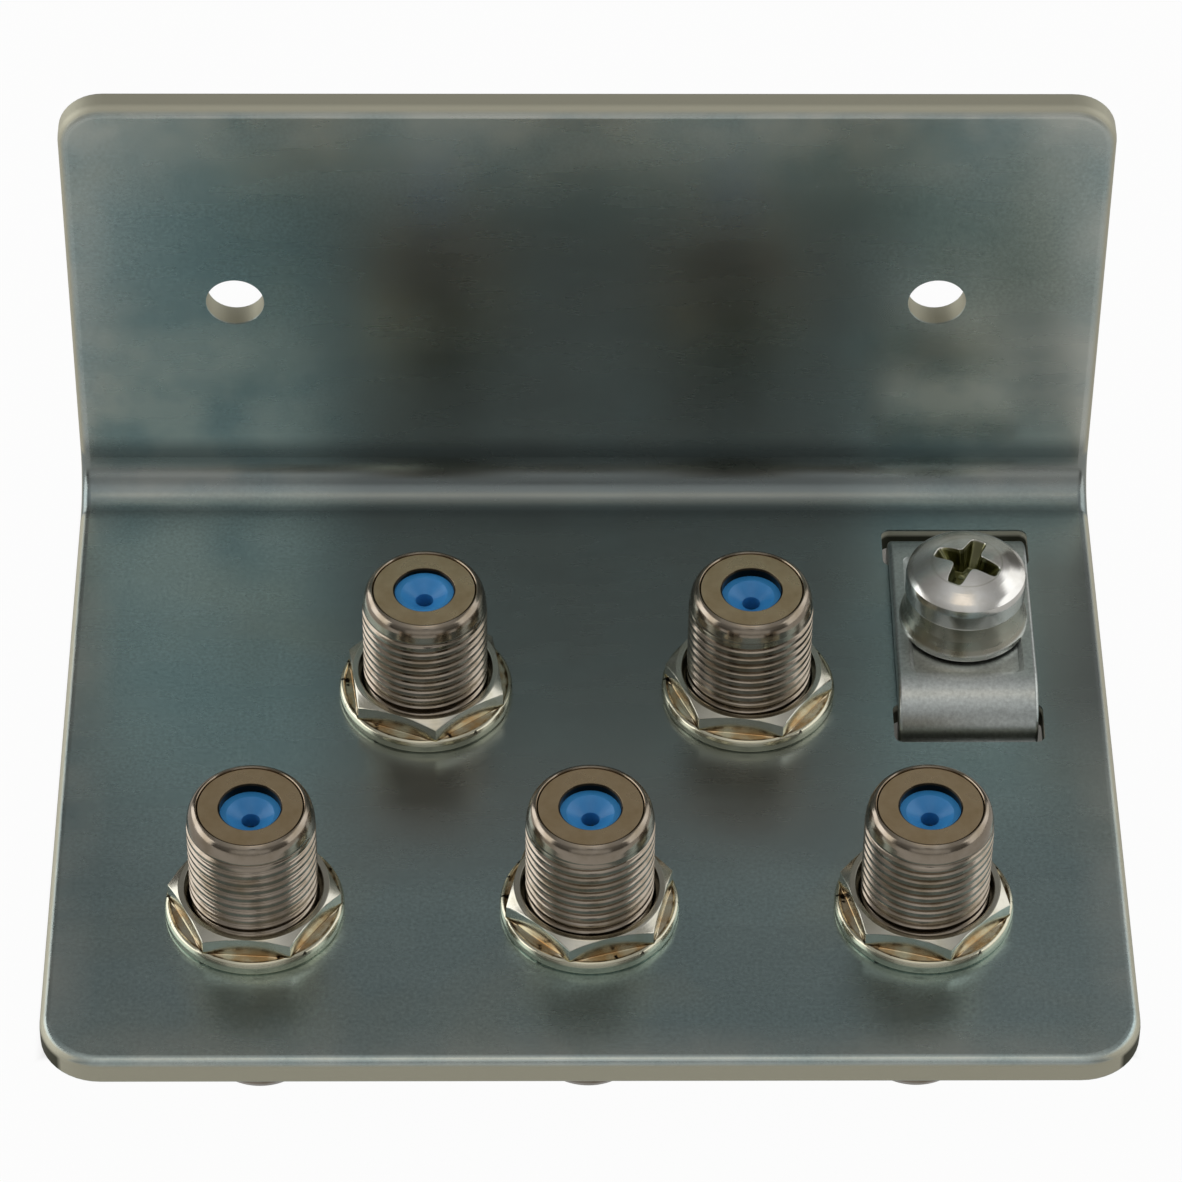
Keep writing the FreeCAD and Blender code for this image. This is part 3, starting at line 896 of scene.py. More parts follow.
@dataclass(frozen=True)
class NutPlate(NickelPlate):
    """Nickel plate on the flange nut: cream over the flange, a painted warm reflection, and tan
    patches of painted shade and reflection on its face inside the groove, with dark specks in a
    band about the groove and a few dark pits beside it.

    Attributes:
        cream: colour of the flange, a painted warm reflection.
        tan: colour of the patches on its face inside the groove, painted shade and reflection.
        groove_dark: colour of the dark specks about the groove.
        pit: colour of the pits.
        groove_r: radius of the groove, in mm.
        flange: height of the flange's face, in mm.
        patch_mm: size of the tan patches.
        speck_mm: size of the dark specks and the pits.
        face_fade: where the flange's colours start and are full, in mm above the flange's face.
        tan_fade: where the tan starts and is full, in mm out from the groove.
        groove_dark_fade: the same for the dark specks, in mm to either side of the groove.
        pit_fade: the same for the pits.
    """

    cream: str = "#D9D5BE"
    tan: str = "#C4A478"
    groove_dark: str = "#6A5639"
    pit: str = "#1C150C"
    groove_r: float = 6.2
    flange: float = 1.05
    patch_mm: float = 1.5
    speck_mm: float = 0.8
    face_fade: tuple[float, float] = (0.08, -0.02)
    tan_fade: tuple[float, float] = (0.1, -0.1)
    groove_dark_fade: tuple[float, float] = (0.16, 0.05)
    pit_fade: tuple[float, float] = (0.5, 0.3)

    def tint(self, tree: bpy.types.NodeTree, about: bpy.types.NodeSocket) -> bpy.types.NodeSocket:
        """Colour of the plate with the painted reflection and shade on the flange.

        The cream, a painted warm reflection, and its tan patches of painted shade and reflection
        lie below the flange's height, and the dark specks and pits keep to a band about the
        groove's radius.

        Args:
            tree: the material's nodes.
            about: Object coordinates about the part's axis.

        Returns:
            The colour.
        """
        radius, height = self.polar(tree, about)
        off = add_node(tree, "ShaderNodeMath", {
            0: radius, 1: self.groove_r * MM,
        }, operation="SUBTRACT")
        off = add_node(tree, "ShaderNodeMath", {0: off.outputs[0]}, operation="ABSOLUTE").outputs[0]
        blotch = add_node(tree, "ShaderNodeTexNoise", {
            "Vector": about, "Scale": 1.0 / (self.patch_mm * MM), "Detail": 3.0,
        }).outputs[0]
        speck = add_node(tree, "ShaderNodeTexNoise", {
            "Vector": about, "Scale": 1.0 / (self.speck_mm * MM), "Detail": 2.0,
        }).outputs[0]
        low, inside, near, band = (
            add_node(tree, "ShaderNodeMapRange", {
                0: value, 1: (base + start) * MM, 2: (base + end) * MM,
            }).outputs[0]
            for value, base, (start, end) in (
                (height, self.flange, self.face_fade),
                (radius, self.groove_r, self.tan_fade),
                (off, 0.0, self.groove_dark_fade),
                (off, 0.0, self.pit_fade),
            )
        )
        # The flange starts from cream, a painted warm reflection.
        done = linear(self.cream)
        for value, start, end, least, where, colour in (
            # Tan patches inside the groove: painted shade and the painted reflection of the
            # hexagon's flats.
            (blotch, 0.35, 0.6, 0.0, inside, self.tan),
            # Dark specks in a band about the groove.
            (speck, 0.38, 0.58, 0.25, near, self.groove_dark),
            (speck, 0.66, 0.7, 0.0, band, self.pit),
        ):
            share = add_node(tree, "ShaderNodeMapRange", {0: value, 1: start, 2: end, 3: least})
            share = add_node(tree, "ShaderNodeMath", {
                0: share.outputs[0], 1: where,
            }, operation="MULTIPLY")
            done = add_node(tree, "ShaderNodeMix", {
                0: share.outputs[0], 6: done, 7: linear(colour),
            }, data_type="RGBA").outputs[2]
        flange_tinted = add_node(tree, "ShaderNodeMix", {
            0: low, 6: super().tint(tree, about), 7: done,
        }, data_type="RGBA")
        return flange_tinted.outputs[2]


@dataclass(frozen=True)
class StainAndShadePlate(NickelPlate):
    """Nickel plate that is darker within a radius and under a height. In the rings' bores and the
    screw's recess this is painted shade; on the cup washer it is a stain over the body, and the
    pale rim left beyond it is a painted highlight.

    Attributes:
        stain: colour within the radius and under the height.
        reach: radius out to which the stain goes, in mm.
        below: height up to which it goes, in mm.
    """

    stain: str = "#2A2620"
    reach: float = 2.36
    below: float = 30.0

    def tint(self, tree: bpy.types.NodeTree, about: bpy.types.NodeSocket) -> bpy.types.NodeSocket:
        """Colour of the plate, darker within a radius and under a height.

        Args:
            tree: the material's nodes.
            about: Object coordinates about the part's axis.

        Returns:
            The colour.
        """
        radius, height = self.polar(tree, about)
        hollow = add_node(tree, "ShaderNodeMapRange", {
            0: radius, 1: (self.reach + 0.03) * MM, 2: (self.reach - 0.03) * MM,
        })
        deep = add_node(tree, "ShaderNodeMapRange", {
            0: height, 1: self.below * MM, 2: (self.below - 0.15) * MM,
        })
        share = add_node(tree, "ShaderNodeMath", {
            0: hollow.outputs[0], 1: deep.outputs[0],
        }, operation="MULTIPLY")
        done = add_node(tree, "ShaderNodeMix", {
            0: share.outputs[0], 6: super().tint(tree, about), 7: linear(self.stain),
        }, data_type="RGBA")
        return done.outputs[2]


@dataclass(frozen=True)
class BlueMoulding:
    """Polyethylene, injection moulded: a clear blue with a soft, waxy gloss.

    Attributes:
        base: the plastic's colour.
        deep: colour of its deeper clouds.
        roughness: of the moulded skin.
        ior: of polyethylene.
        cloud_mm: size of the clouds.
        grain_mm: size of the skin's grain.
        relief_mm: depth of that grain.
    """

    base: str = "#48A4E8"
    deep: str = "#3690D6"
    roughness: float = 0.34
    ior: float = 1.51
    cloud_mm: float = 0.9
    grain_mm: float = 0.12
    relief_mm: float = 0.01

    def material(self, name: str) -> bpy.types.Material:
        """Build the material.

        Args:
            name: the material's name.

        Returns:
            The new material, on Object coordinates.
        """
        made = blank_material(name)
        tree = made.node_tree
        place = add_node(tree, "ShaderNodeTexCoord").outputs["Object"]
        cloud = add_node(tree, "ShaderNodeTexNoise", {
            "Vector": place, "Scale": 1.0 / (self.cloud_mm * MM), "Detail": 3.0,
        })
        grain = add_node(tree, "ShaderNodeTexNoise", {
            "Vector": place, "Scale": 1.0 / (self.grain_mm * MM), "Detail": 2.0,
        })
        colour = add_node(tree, "ShaderNodeMix", {
            0: cloud.outputs[0], 6: linear(self.deep), 7: linear(self.base),
        }, data_type="RGBA")
        bump = add_node(tree, "ShaderNodeBump", {
            "Height": grain.outputs[0], "Strength": 0.15, "Distance": self.relief_mm * MM,
        })
        surface = add_node(tree, "ShaderNodeBsdfPrincipled", {
            "Base Color": colour.outputs[2], "Roughness": self.roughness, "IOR": self.ior,
            "Normal": bump.outputs[0],
        })
        add_node(tree, "ShaderNodeOutputMaterial", {"Surface": surface.outputs[0]})
        return made


def dress(node: str, material: bpy.types.Material) -> None:
    """Give a CAD node that stays in view its material.

    Args:
        node: the node's name.
        material: its finish.
    """
    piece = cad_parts[node]
    piece.data.materials.clear()
    piece.data.materials.append(material)


def stand_for(
    piece: bpy.types.Object, node: str, body: Body, material: bpy.types.Material
) -> None:
    """Let a new piece take the place of a CAD node on its body, with its finish.

    Args:
        piece: the new piece.
        node: the CAD node's name.
        body: the body that it rides on.
        material: its finish.
    """
    piece.data.materials.append(material)
    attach(piece, body.value)
    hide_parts(node)
    LOG.info("%s stands for %s, %d faces", piece.name, node, len(piece.data.polygons))


@dataclass
class Bracket:
    """The bent steel sheet that carries everything.

    Attributes:
        finish: finish of the sheet.
    """

    finish: ZincPlate = field(default_factory=BracketPlate)

    def build(self) -> None:
        """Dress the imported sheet."""
        dress("bracket", self.finish.material("zinc_plated_sheet_steel"))
        LOG.info("bracket dressed")


@dataclass
class Port:
    """One F port: threaded barrel, rings, insulators, contact and flange nut.

    Sizes are in mm, and heights are above the plate's upper face.

    Attributes:
        name: the port's name in the frame.
        turn: how far its nut is turned, in degrees.
        phase: share of a turn by which its upper thread is turned.
        columns: steps round the axis.
        crest_r: radius over the threads' crests.
        pitch: the threads' pitch.
        thread_depth: depth of the grooves, shallower than a full form, as in the photograph.
        runout: height over which a groove fades.
        thread_start: height where the upper thread starts.
        thread_end: height where it ends.
        narrowing: how much narrower the upper thread gets towards its end.
        narrowing_height: height over which it narrows.
        top: height of the upper end.
        bottom: height of the lower end.
        chamfer: how far the ends are narrower than the crests.
        lead: height of the plain lead at each end.
        land: height of plain barrel between the lower lead and its thread.
        shoulder: inset and depth of each corner of the rounded upper end.
        bore_r: radius of the bore that holds the insulators.
        mouth: how much wider the bore is at its ends.
        mouth_deep: depth of that mouth.
        waist_r: radius of the bore between the insulators.
        waist_top: height where the waist starts.
        waist_low: height where it ends.
        collar: height of the hexagonal collar under the plate.
        collar_gap: plain barrel between the lower thread and the collar.
        across_flats: width of the collar and the nut over their flats.
        collar_face_r: radius of the flat face on the collar.
        edge: size of the rounds on the barrel's edges.
        flange_r: radius of the nut's flange.
        flange: height of the flange's lip.
        flange_edge: size of the flange's lower edge.
        flange_brow: inset and two depths of the rounded brow of the flange.
        groove_r: radius of the groove inside the lip.
        groove_deep: depth of the groove under the lip.
        groove_foot: depth of the groove's inner side, at the hexagon.
        groove_run: least widths of the groove's outer side, at the flats and the corners.
        nut_height: height of the nut.
        nut_face_r: radius of the flat face on the nut.
        nut_edge: size of the rounds on the nut's edges.
        mouth_r: radius of the nut's bore at its mouth.
        mouth_depth: depth of that mouth.
        nut_bore_r: radius of the nut's bore.
    """

    name: str
    turn: float
    phase: float
    columns: int = 96
    crest_r: float = 4.73
    pitch: float = 0.79375
    thread_depth: float = 0.28
    runout: float = 0.6
    thread_start: float = 0.2
    thread_end: float = 9.7
    narrowing: float = 0.06
    narrowing_height: float = 0.9
    top: float = 11.0
    bottom: float = -15.3
    chamfer: float = 0.7
    lead: float = 1.05
    land: float = 0.3
    shoulder: tuple[tuple[float, float], ...] = ((0.1, 1.1), (0.17, 0.72), (0.3, 0.4), (0.48, 0.14))
    bore_r: float = 3.82
    mouth: float = 0.13
    mouth_deep: float = 0.4
    waist_r: float = 2.7
    waist_top: float = 0.5
    waist_low: float = -4.5
    collar: float = 3.4
    collar_gap: float = 0.3
    across_flats: float = 11.11
    collar_face_r: float = 5.405
    edge: float = 0.1
    flange_r: float = 6.63
    flange: float = 1.05
    flange_edge: float = 0.12
    flange_brow: tuple[float, float, float] = (0.11, 0.12, 0.4)
    groove_r: float = 6.2
    groove_deep: float = 0.14
    groove_foot: float = 0.07
    groove_run: tuple[float, float] = (0.12, 0.06)
    nut_height: float = 2.6
    nut_face_r: float = 5.55
    nut_edge: float = 0.06
    mouth_r: float = 5.12
    mouth_depth: float = 0.9
    nut_bore_r: float = 4.79

    def barrel(self, centre: Vector) -> bpy.types.Object:
        """Build the barrel with its two threads and its collar.

        The profile runs round the wall of the tube: out along the lower face, up the
        outside, in over the top and down the bore.

        Args:
            centre: the port's axis at the plate's upper face, in metres.

        Returns:
            The barrel.
        """
        angles = around(self.columns)
        count = self.columns + 1
        hexed = hex_radius(angles, self.across_flats)
        under = -SHEET - self.collar
        slope = under + (hexed - self.collar_face_r) * HEX_CHAMFER
        crest = self.crest_r
        low_start = self.bottom + self.lead + self.land
        low_stop = under - self.collar_gap
        low_end = softened([
            (self.bore_r, self.waist_low), (self.bore_r, self.bottom + self.mouth_deep),
            (self.bore_r + self.mouth, self.bottom), (crest - self.chamfer, self.bottom),
            (crest, self.bottom + self.lead), (crest, low_start),
        ], count, self.edge, False)
        low_thread = Thread(
            crest, self.pitch, self.thread_depth, low_start, low_stop, self.runout
        ).rows(angles)
        middle = softened([
            (crest, low_stop), (crest, under), (self.collar_face_r, under), (hexed, slope),
            (hexed, -SHEET), (crest, -SHEET), (crest, self.thread_start),
        ], count, self.edge, False)
        wide, heights = Thread(
            crest, self.pitch, self.thread_depth, self.thread_start, self.thread_end, self.runout,
            phase=self.phase,
        ).rows(angles)
        near_end = (heights - self.thread_end + self.narrowing_height) / self.narrowing_height
        high_thread = (wide - self.narrowing * smooth(near_end), heights)
        high_end = softened([
            (crest - self.narrowing, self.thread_end),
            *((crest - inset, self.top - depth) for inset, depth in self.shoulder),
            (crest - self.chamfer, self.top),
            (self.bore_r + self.mouth, self.top), (self.bore_r, self.top - self.mouth_deep),
            (self.bore_r, self.waist_top), (self.waist_r, self.waist_top),
            (self.waist_r, self.waist_low), (self.bore_r, self.waist_low),
        ], count, self.edge, False)
        radii, heights = stack_rows(low_end, low_thread, middle, high_thread, high_end)
        return write_mesh(self.name + "_threaded_barrel", radii, heights, angles, centre)

    def nut(self, centre: Vector) -> bpy.types.Object:
        """Build the flange nut.

        The flange's face lies a little below its raised lip. The groove between them has
        the larger of its own radius and the hexagon's, so it runs round the corners.

        Args:
            centre: the port's axis at the plate's upper face, in metres.

        Returns:
            The nut.
        """
        angles = around(self.columns)
        hexed = hex_radius(angles, self.across_flats)
        groove = np.maximum(self.groove_r, hexed)
        lip = np.maximum(self.groove_r + self.groove_run[0], groove + self.groove_run[1])
        brow = self.nut_height - (hexed - self.nut_face_r) * HEX_CHAMFER
        inset, shallow, deep = self.flange_brow
        radii, heights = softened([
            (self.nut_bore_r, 0.0), (self.flange_r - self.flange_edge, 0.0),
            (self.flange_r, self.flange_edge), (self.flange_r, self.flange - deep),
            (self.flange_r - inset, self.flange - shallow), (lip, self.flange),
            (groove, self.flange - self.groove_deep), (hexed, self.flange - self.groove_foot),
            (hexed, brow), (self.nut_face_r, self.nut_height), (self.mouth_r, self.nut_height),
            (self.nut_bore_r, self.nut_height - self.mouth_depth),
        ], self.columns + 1, self.nut_edge, True)
        return write_mesh(
            self.name + "_polished_nut", radii, heights, angles, centre, math.radians(self.turn)
        )

    def build(
        self, barrel: NickelPlate, ring: NickelPlate, nut: NickelPlate, plastic: bpy.types.Material,
        spring: NickelPlate,
    ) -> None:
        """Build and dress the whole port.

        Args:
            barrel: finish of the barrel.
            ring: finish of the pressed rings.
            nut: finish of the flange nut.
            plastic: the insulators' material.
            spring: finish of the contact.
        """
        centre = node_centre(self.name + "_barrel")
        turned = barrel.material(self.name + "_nickel_turned_brass", centre)
        stand_for(self.barrel(centre), self.name + "_barrel", Body.BLOCK, turned)
        polished = nut.material(self.name + "_nickel_polished_brass", centre)
        stand_for(self.nut(centre), self.name + "_flange_nut", Body.BLOCK, polished)
        pressed = ring.material(self.name + "_nickel_pressed_ring", centre)
        for end in ("top", "bottom"):
            dress(self.name + "_" + end + "_ring", pressed)
            dress(self.name + "_" + end + "_insulator", plastic)
        dress(self.name + "_contact", spring.material(self.name + "_spring_bronze", centre))


@dataclass
class GroundClamp:
    """The strap, its cup washer and the ground screw.

    Sizes are in mm, and heights are above the plate's upper face.

    Attributes:
        columns: steps round the axis.
        gather: how strongly the columns gather at the recess's arms.
        strap_top: height of the strap's upper face, which carries the washer.
        length: length of the screw under its head.
        shank_r: radius of the screw over its crests.
        pitch: pitch of its thread.
        thread_depth: depth of its groove.
        runout: height over which the groove fades.
        rows_per_turn: rows of the thread's mesh for each turn.
        plain: plain shank between the head and the thread.
        point: height of the taper at the tip.
        point_r: how far the tip is narrower than the shank.
        point_gap: plain shank between the thread and the taper.
        head_r: radius of the head.
        head_side: height of its side.
        head_height: its whole height.
        brow: how far in from the rim the head's rounding starts.
        brow_deep: how far down the side it ends.
        crown_rows: rows of the mesh over the dome.
        crown_edge: size of the round between the dome and the side.
        side_edge: size of the rounds under the head.
        tip_edge: size of the rounds at the tip.
        recess_reach: half the length of the cross recess.
        recess_arm: width of its arms.
        recess_depth: its depth.
        recess_turn: how far it is turned, in degrees.
        recess_floor: length and width of its floor, as shares of its mouth's.
        recess_dish: how much deeper the middle of its floor is.
        recess_flat: where that middle ends, as a share of the floor's radius.
        recess_rim: widths of the rounded rim about its mouth.
        recess_drop: how far the mouth lies under the dome.
        recess_edge: size of the recess's rounds.
        cup: height of the washer.
        cup_rim_r: radius of the washer's lower rim.
        cup_top_r: radius of its upper face.
        cup_wall: its thickness.
        cup_bore: clearance of its bore round the screw.
        cup_sunk: how far its rim reaches below the strap's upper face.
        cup_foot: inset of the rim's lower edge.
        cup_edge: size of the washer's rounds.
        cup_flare: inset and height of each corner of the flared side.
        sheet_finish: finish of the strap.
        screw_finish: finish of the screw.
        cup_finish: finish of the washer.
    """

    columns: int = 144
    gather: float = 0.55
    strap_top: float = 2.0
    length: float = 12.7
    shank_r: float = 2.4
    pitch: float = 0.79375
    thread_depth: float = 0.42
    runout: float = 0.7
    rows_per_turn: int = 12
    plain: float = 0.8
    point: float = 0.6
    point_r: float = 0.6
    point_gap: float = 0.1
    head_r: float = 4.63
    head_side: float = 1.95
    head_height: float = 3.3
    brow: float = 1.3
    brow_deep: float = 1.5
    crown_rows: int = 14
    crown_edge: float = 0.6
    side_edge: float = 0.1
    tip_edge: float = 0.06
    recess_reach: float = 2.6
    recess_arm: float = 1.35
    recess_depth: float = 2.2
    recess_turn: float = 63.5
    recess_floor: tuple[float, float] = (0.45, 0.62)
    recess_dish: float = 0.15
    recess_flat: float = 0.55
    recess_rim: tuple[float, float] = (0.06, 0.16)
    recess_drop: float = 0.02
    recess_edge: float = 0.05
    cup: float = 2.85
    cup_rim_r: float = 4.98
    cup_top_r: float = 4.45
    cup_wall: float = 0.8
    cup_bore: float = 0.15
    cup_sunk: float = 0.2
    cup_foot: float = 0.08
    cup_edge: float = 0.05
    cup_flare: tuple[tuple[float, float], ...] = (
        (0.0, -0.1), (0.04, 0.24), (0.25, 0.75), (0.42, 1.5),
    )
    sheet_finish: ZincPlate = field(default_factory=lambda: StrapPlate(
        cool="#CFD3D0", straw="#D1D0C2", dull="#C3CAC8", roughness=0.33))
    # The screw is darker in its recess: painted shade.
    screw_finish: NickelPlate = field(default_factory=lambda: StainAndShadePlate(
        base="#EDECE8", shade="#DBD8D0", roughness=0.2, mark_mm=0.2, bump=0.05,
        stain="#8A8A68", reach=2.75, below=7.75))
    # The washer's body takes a stain, and its rim beyond reach stays pale: a painted highlight.
    cup_finish: NickelPlate = field(default_factory=lambda: StainAndShadePlate(
        base="#E6E6E0", shade="#D2D2CA", roughness=0.27, mark_mm=0.3, bump=0.1,
        stain="#BBB8AA", reach=4.88))

    def cross(self, angles: np.ndarray, reach: float, arm: float) -> np.ndarray:
        """Outline of the cross recess.

        A bar of half length L and half width w has the radius
        1 / ((cos / L)^6 + (sin / w)^6)^(1/6), and two bars at right angles are joined by
        the root of the sum of their powers of 3.5, which fills the inner corners.

        Args:
            angles: the ring's angles, first one repeated.
            reach: half the length of a bar, in mm.
            arm: width of a bar, in mm.

        Returns:
            The radius for each angle, in mm.
        """
        squareness, filling = 6, 3.5
        arms = []
        for quarter in (0.0, math.pi / 2.0):
            off = angles - math.radians(self.recess_turn) - quarter
            long_way = np.abs(np.cos(off) / reach) ** squareness
            short_way = np.abs(np.sin(off) * 2.0 / arm) ** squareness
            arms.append((long_way + short_way) ** (-1.0 / squareness))
        return (arms[0] ** filling + arms[1] ** filling) ** (1.0 / filling)

    def screw(self, centre: Vector) -> bpy.types.Object:
        """Build the pan head screw, from the recess over the dome and down to the tip.

        Over the dome a row is a blend of the recess outline and the head's circle, and its
        height is that of a sphere whose crown is the head's top.

        Args:
            centre: the screw's axis at the plate's upper face, in metres.

        Returns:
            The screw.
        """
        angles = around(self.columns, self.gather, math.radians(self.recess_turn))
        count = self.columns + 1
        under = self.strap_top + self.cup
        top = under + self.head_height
        shoulder = under + self.head_side
        tip = under - self.length
        rise = self.head_height - self.head_side
        dome_r = (self.head_r ** 2 + rise ** 2) / (2.0 * rise)

        def dome(r: np.ndarray) -> np.ndarray:
            """Height of the dome at a radius."""
            return top - dome_r + np.sqrt(dome_r ** 2 - r ** 2)

        mouth = self.cross(angles, self.recess_reach, self.recess_arm)
        floor = self.cross(
            angles, self.recess_reach * self.recess_floor[0], self.recess_arm * self.recess_floor[1]
        )
        deep = top - self.recess_depth
        inner, outer = (mouth + width for width in self.recess_rim)
        recess = softened([
            (0.0, deep - self.recess_dish), (floor * self.recess_flat, deep), (floor, deep),
            (mouth, dome(mouth) - self.recess_drop), (inner, dome(inner)), (outer, dome(outer)),
        ], count, self.recess_edge, False)
        crown_r = self.head_r - self.brow
        blend = np.linspace(0.0, 1.0, self.crown_rows)[:, None]
        sweep = outer[None, :] * (1.0 - blend) + crown_r * blend
        edge = softened([
            (crown_r, dome(np.array(crown_r))), (self.head_r, shoulder),
            (self.head_r, shoulder - self.brow_deep),
        ], count, self.crown_edge, False)
        side = softened([
            (self.head_r, shoulder - self.brow_deep), (self.head_r, under), (self.shank_r, under),
            (self.shank_r, under - self.plain),
        ], count, self.side_edge, False)
        thread_end = tip + self.point + self.point_gap
        shank = Thread(
            self.shank_r, self.pitch, self.thread_depth, thread_end, under - self.plain,
            self.runout, self.rows_per_turn,
        ).rows(angles)
        end = softened([
            (self.shank_r, thread_end), (self.shank_r, tip + self.point),
            (self.shank_r - self.point_r, tip), (0.0, tip),
        ], count, self.tip_edge, False)
        radii, heights = stack_rows(
            recess, (sweep, dome(sweep)), edge, side, (shank[0][::-1], shank[1][::-1]), end
        )
        return write_mesh("ground_screw_pan_head", radii[::-1], heights[::-1], angles, centre)

    def washer(self, centre: Vector) -> bpy.types.Object:
        """Build the cup washer, whose skirt flares to a thin rim on the strap.

        The profile goes from the bore out under the upper face and down the inside of the
        skirt, then up its flared outside.

        Args:
            centre: the screw's axis at the plate's upper face, in metres.

        Returns:
            The washer.
        """
        angles = around(self.columns)
        low, top = self.strap_top, self.strap_top + self.cup
        rim, neck, wall = self.cup_rim_r, self.cup_top_r, self.cup_wall
        bore = self.shank_r + self.cup_bore
        radii, heights = softened([
            (bore, top), (bore, top - wall), (neck - wall, top - wall),
            (rim - wall, low - self.cup_sunk), (rim - self.cup_foot, low - self.cup_sunk),
            *((rim - inset, low + height) for inset, height in self.cup_flare), (neck, top),
        ], self.columns + 1, self.cup_edge, True)
        return write_mesh("cup_washer_flared", radii, heights, angles, centre)

    def build(self) -> None:
        """Dress the strap, and build the washer and the screw."""
        centre = node_centre("ground_screw")
        dress("ground_strap", self.sheet_finish.material("zinc_plated_pressed_strap"))
        cup = self.cup_finish.material("nickel_plated_pressed_washer", centre)
        stand_for(self.washer(centre), "cup_washer", Body.CLAMP, cup)
        plate = self.screw_finish.material("nickel_plated_steel", centre)
        stand_for(self.screw(centre), "ground_screw", Body.SCREW, plate)


@dataclass(frozen=True)
class Softbox:
    """A flat studio lamp aimed at the object.

    Attributes:
        name: the lamp's name.
        azimuth: degrees round from the front, positive to the right.
        elevation: degrees above the floor.
        distance: metres from the aim point.
        width: metres across.
        height: metres up.
        radiance: brightness of its face, where 1 is white.
        colour: sRGB hex colour.
        upright: whether the face stands upright instead of tilting down at the object.
    """

    name: str
    azimuth: float
    elevation: float
    distance: float
    width: float
    height: float
    radiance: float
    colour: str = "#FFFFFF"
    upright: bool = False

    def build(self, aim: Vector) -> None:
        """Hang the lamp so that its face looks at the aim point, or stands upright.

        Args:
            aim: the point that the lamp is aimed at, in metres.
        """
        az, el = math.radians(self.azimuth), math.radians(self.elevation)
        out = Vector((math.sin(az) * math.cos(el), -math.cos(az) * math.cos(el), math.sin(el)))
        facing = Vector((out.x, out.y, 0.0)) if self.upright else out
        lamp = bpy.data.lights.new(self.name, "AREA")
        lamp.shape = "RECTANGLE"
        lamp.size = self.width
        lamp.size_y = self.height
        lamp.energy = self.radiance * math.pi * self.width * self.height
        lamp.color = linear(self.colour)[:3]
        thing = bpy.data.objects.new(self.name, lamp)
        bpy.context.scene.collection.objects.link(thing)
        thing.location = aim + out * self.distance
        thing.rotation_euler = facing.to_track_quat("Z", "Y").to_euler()
        thing.visible_camera = False


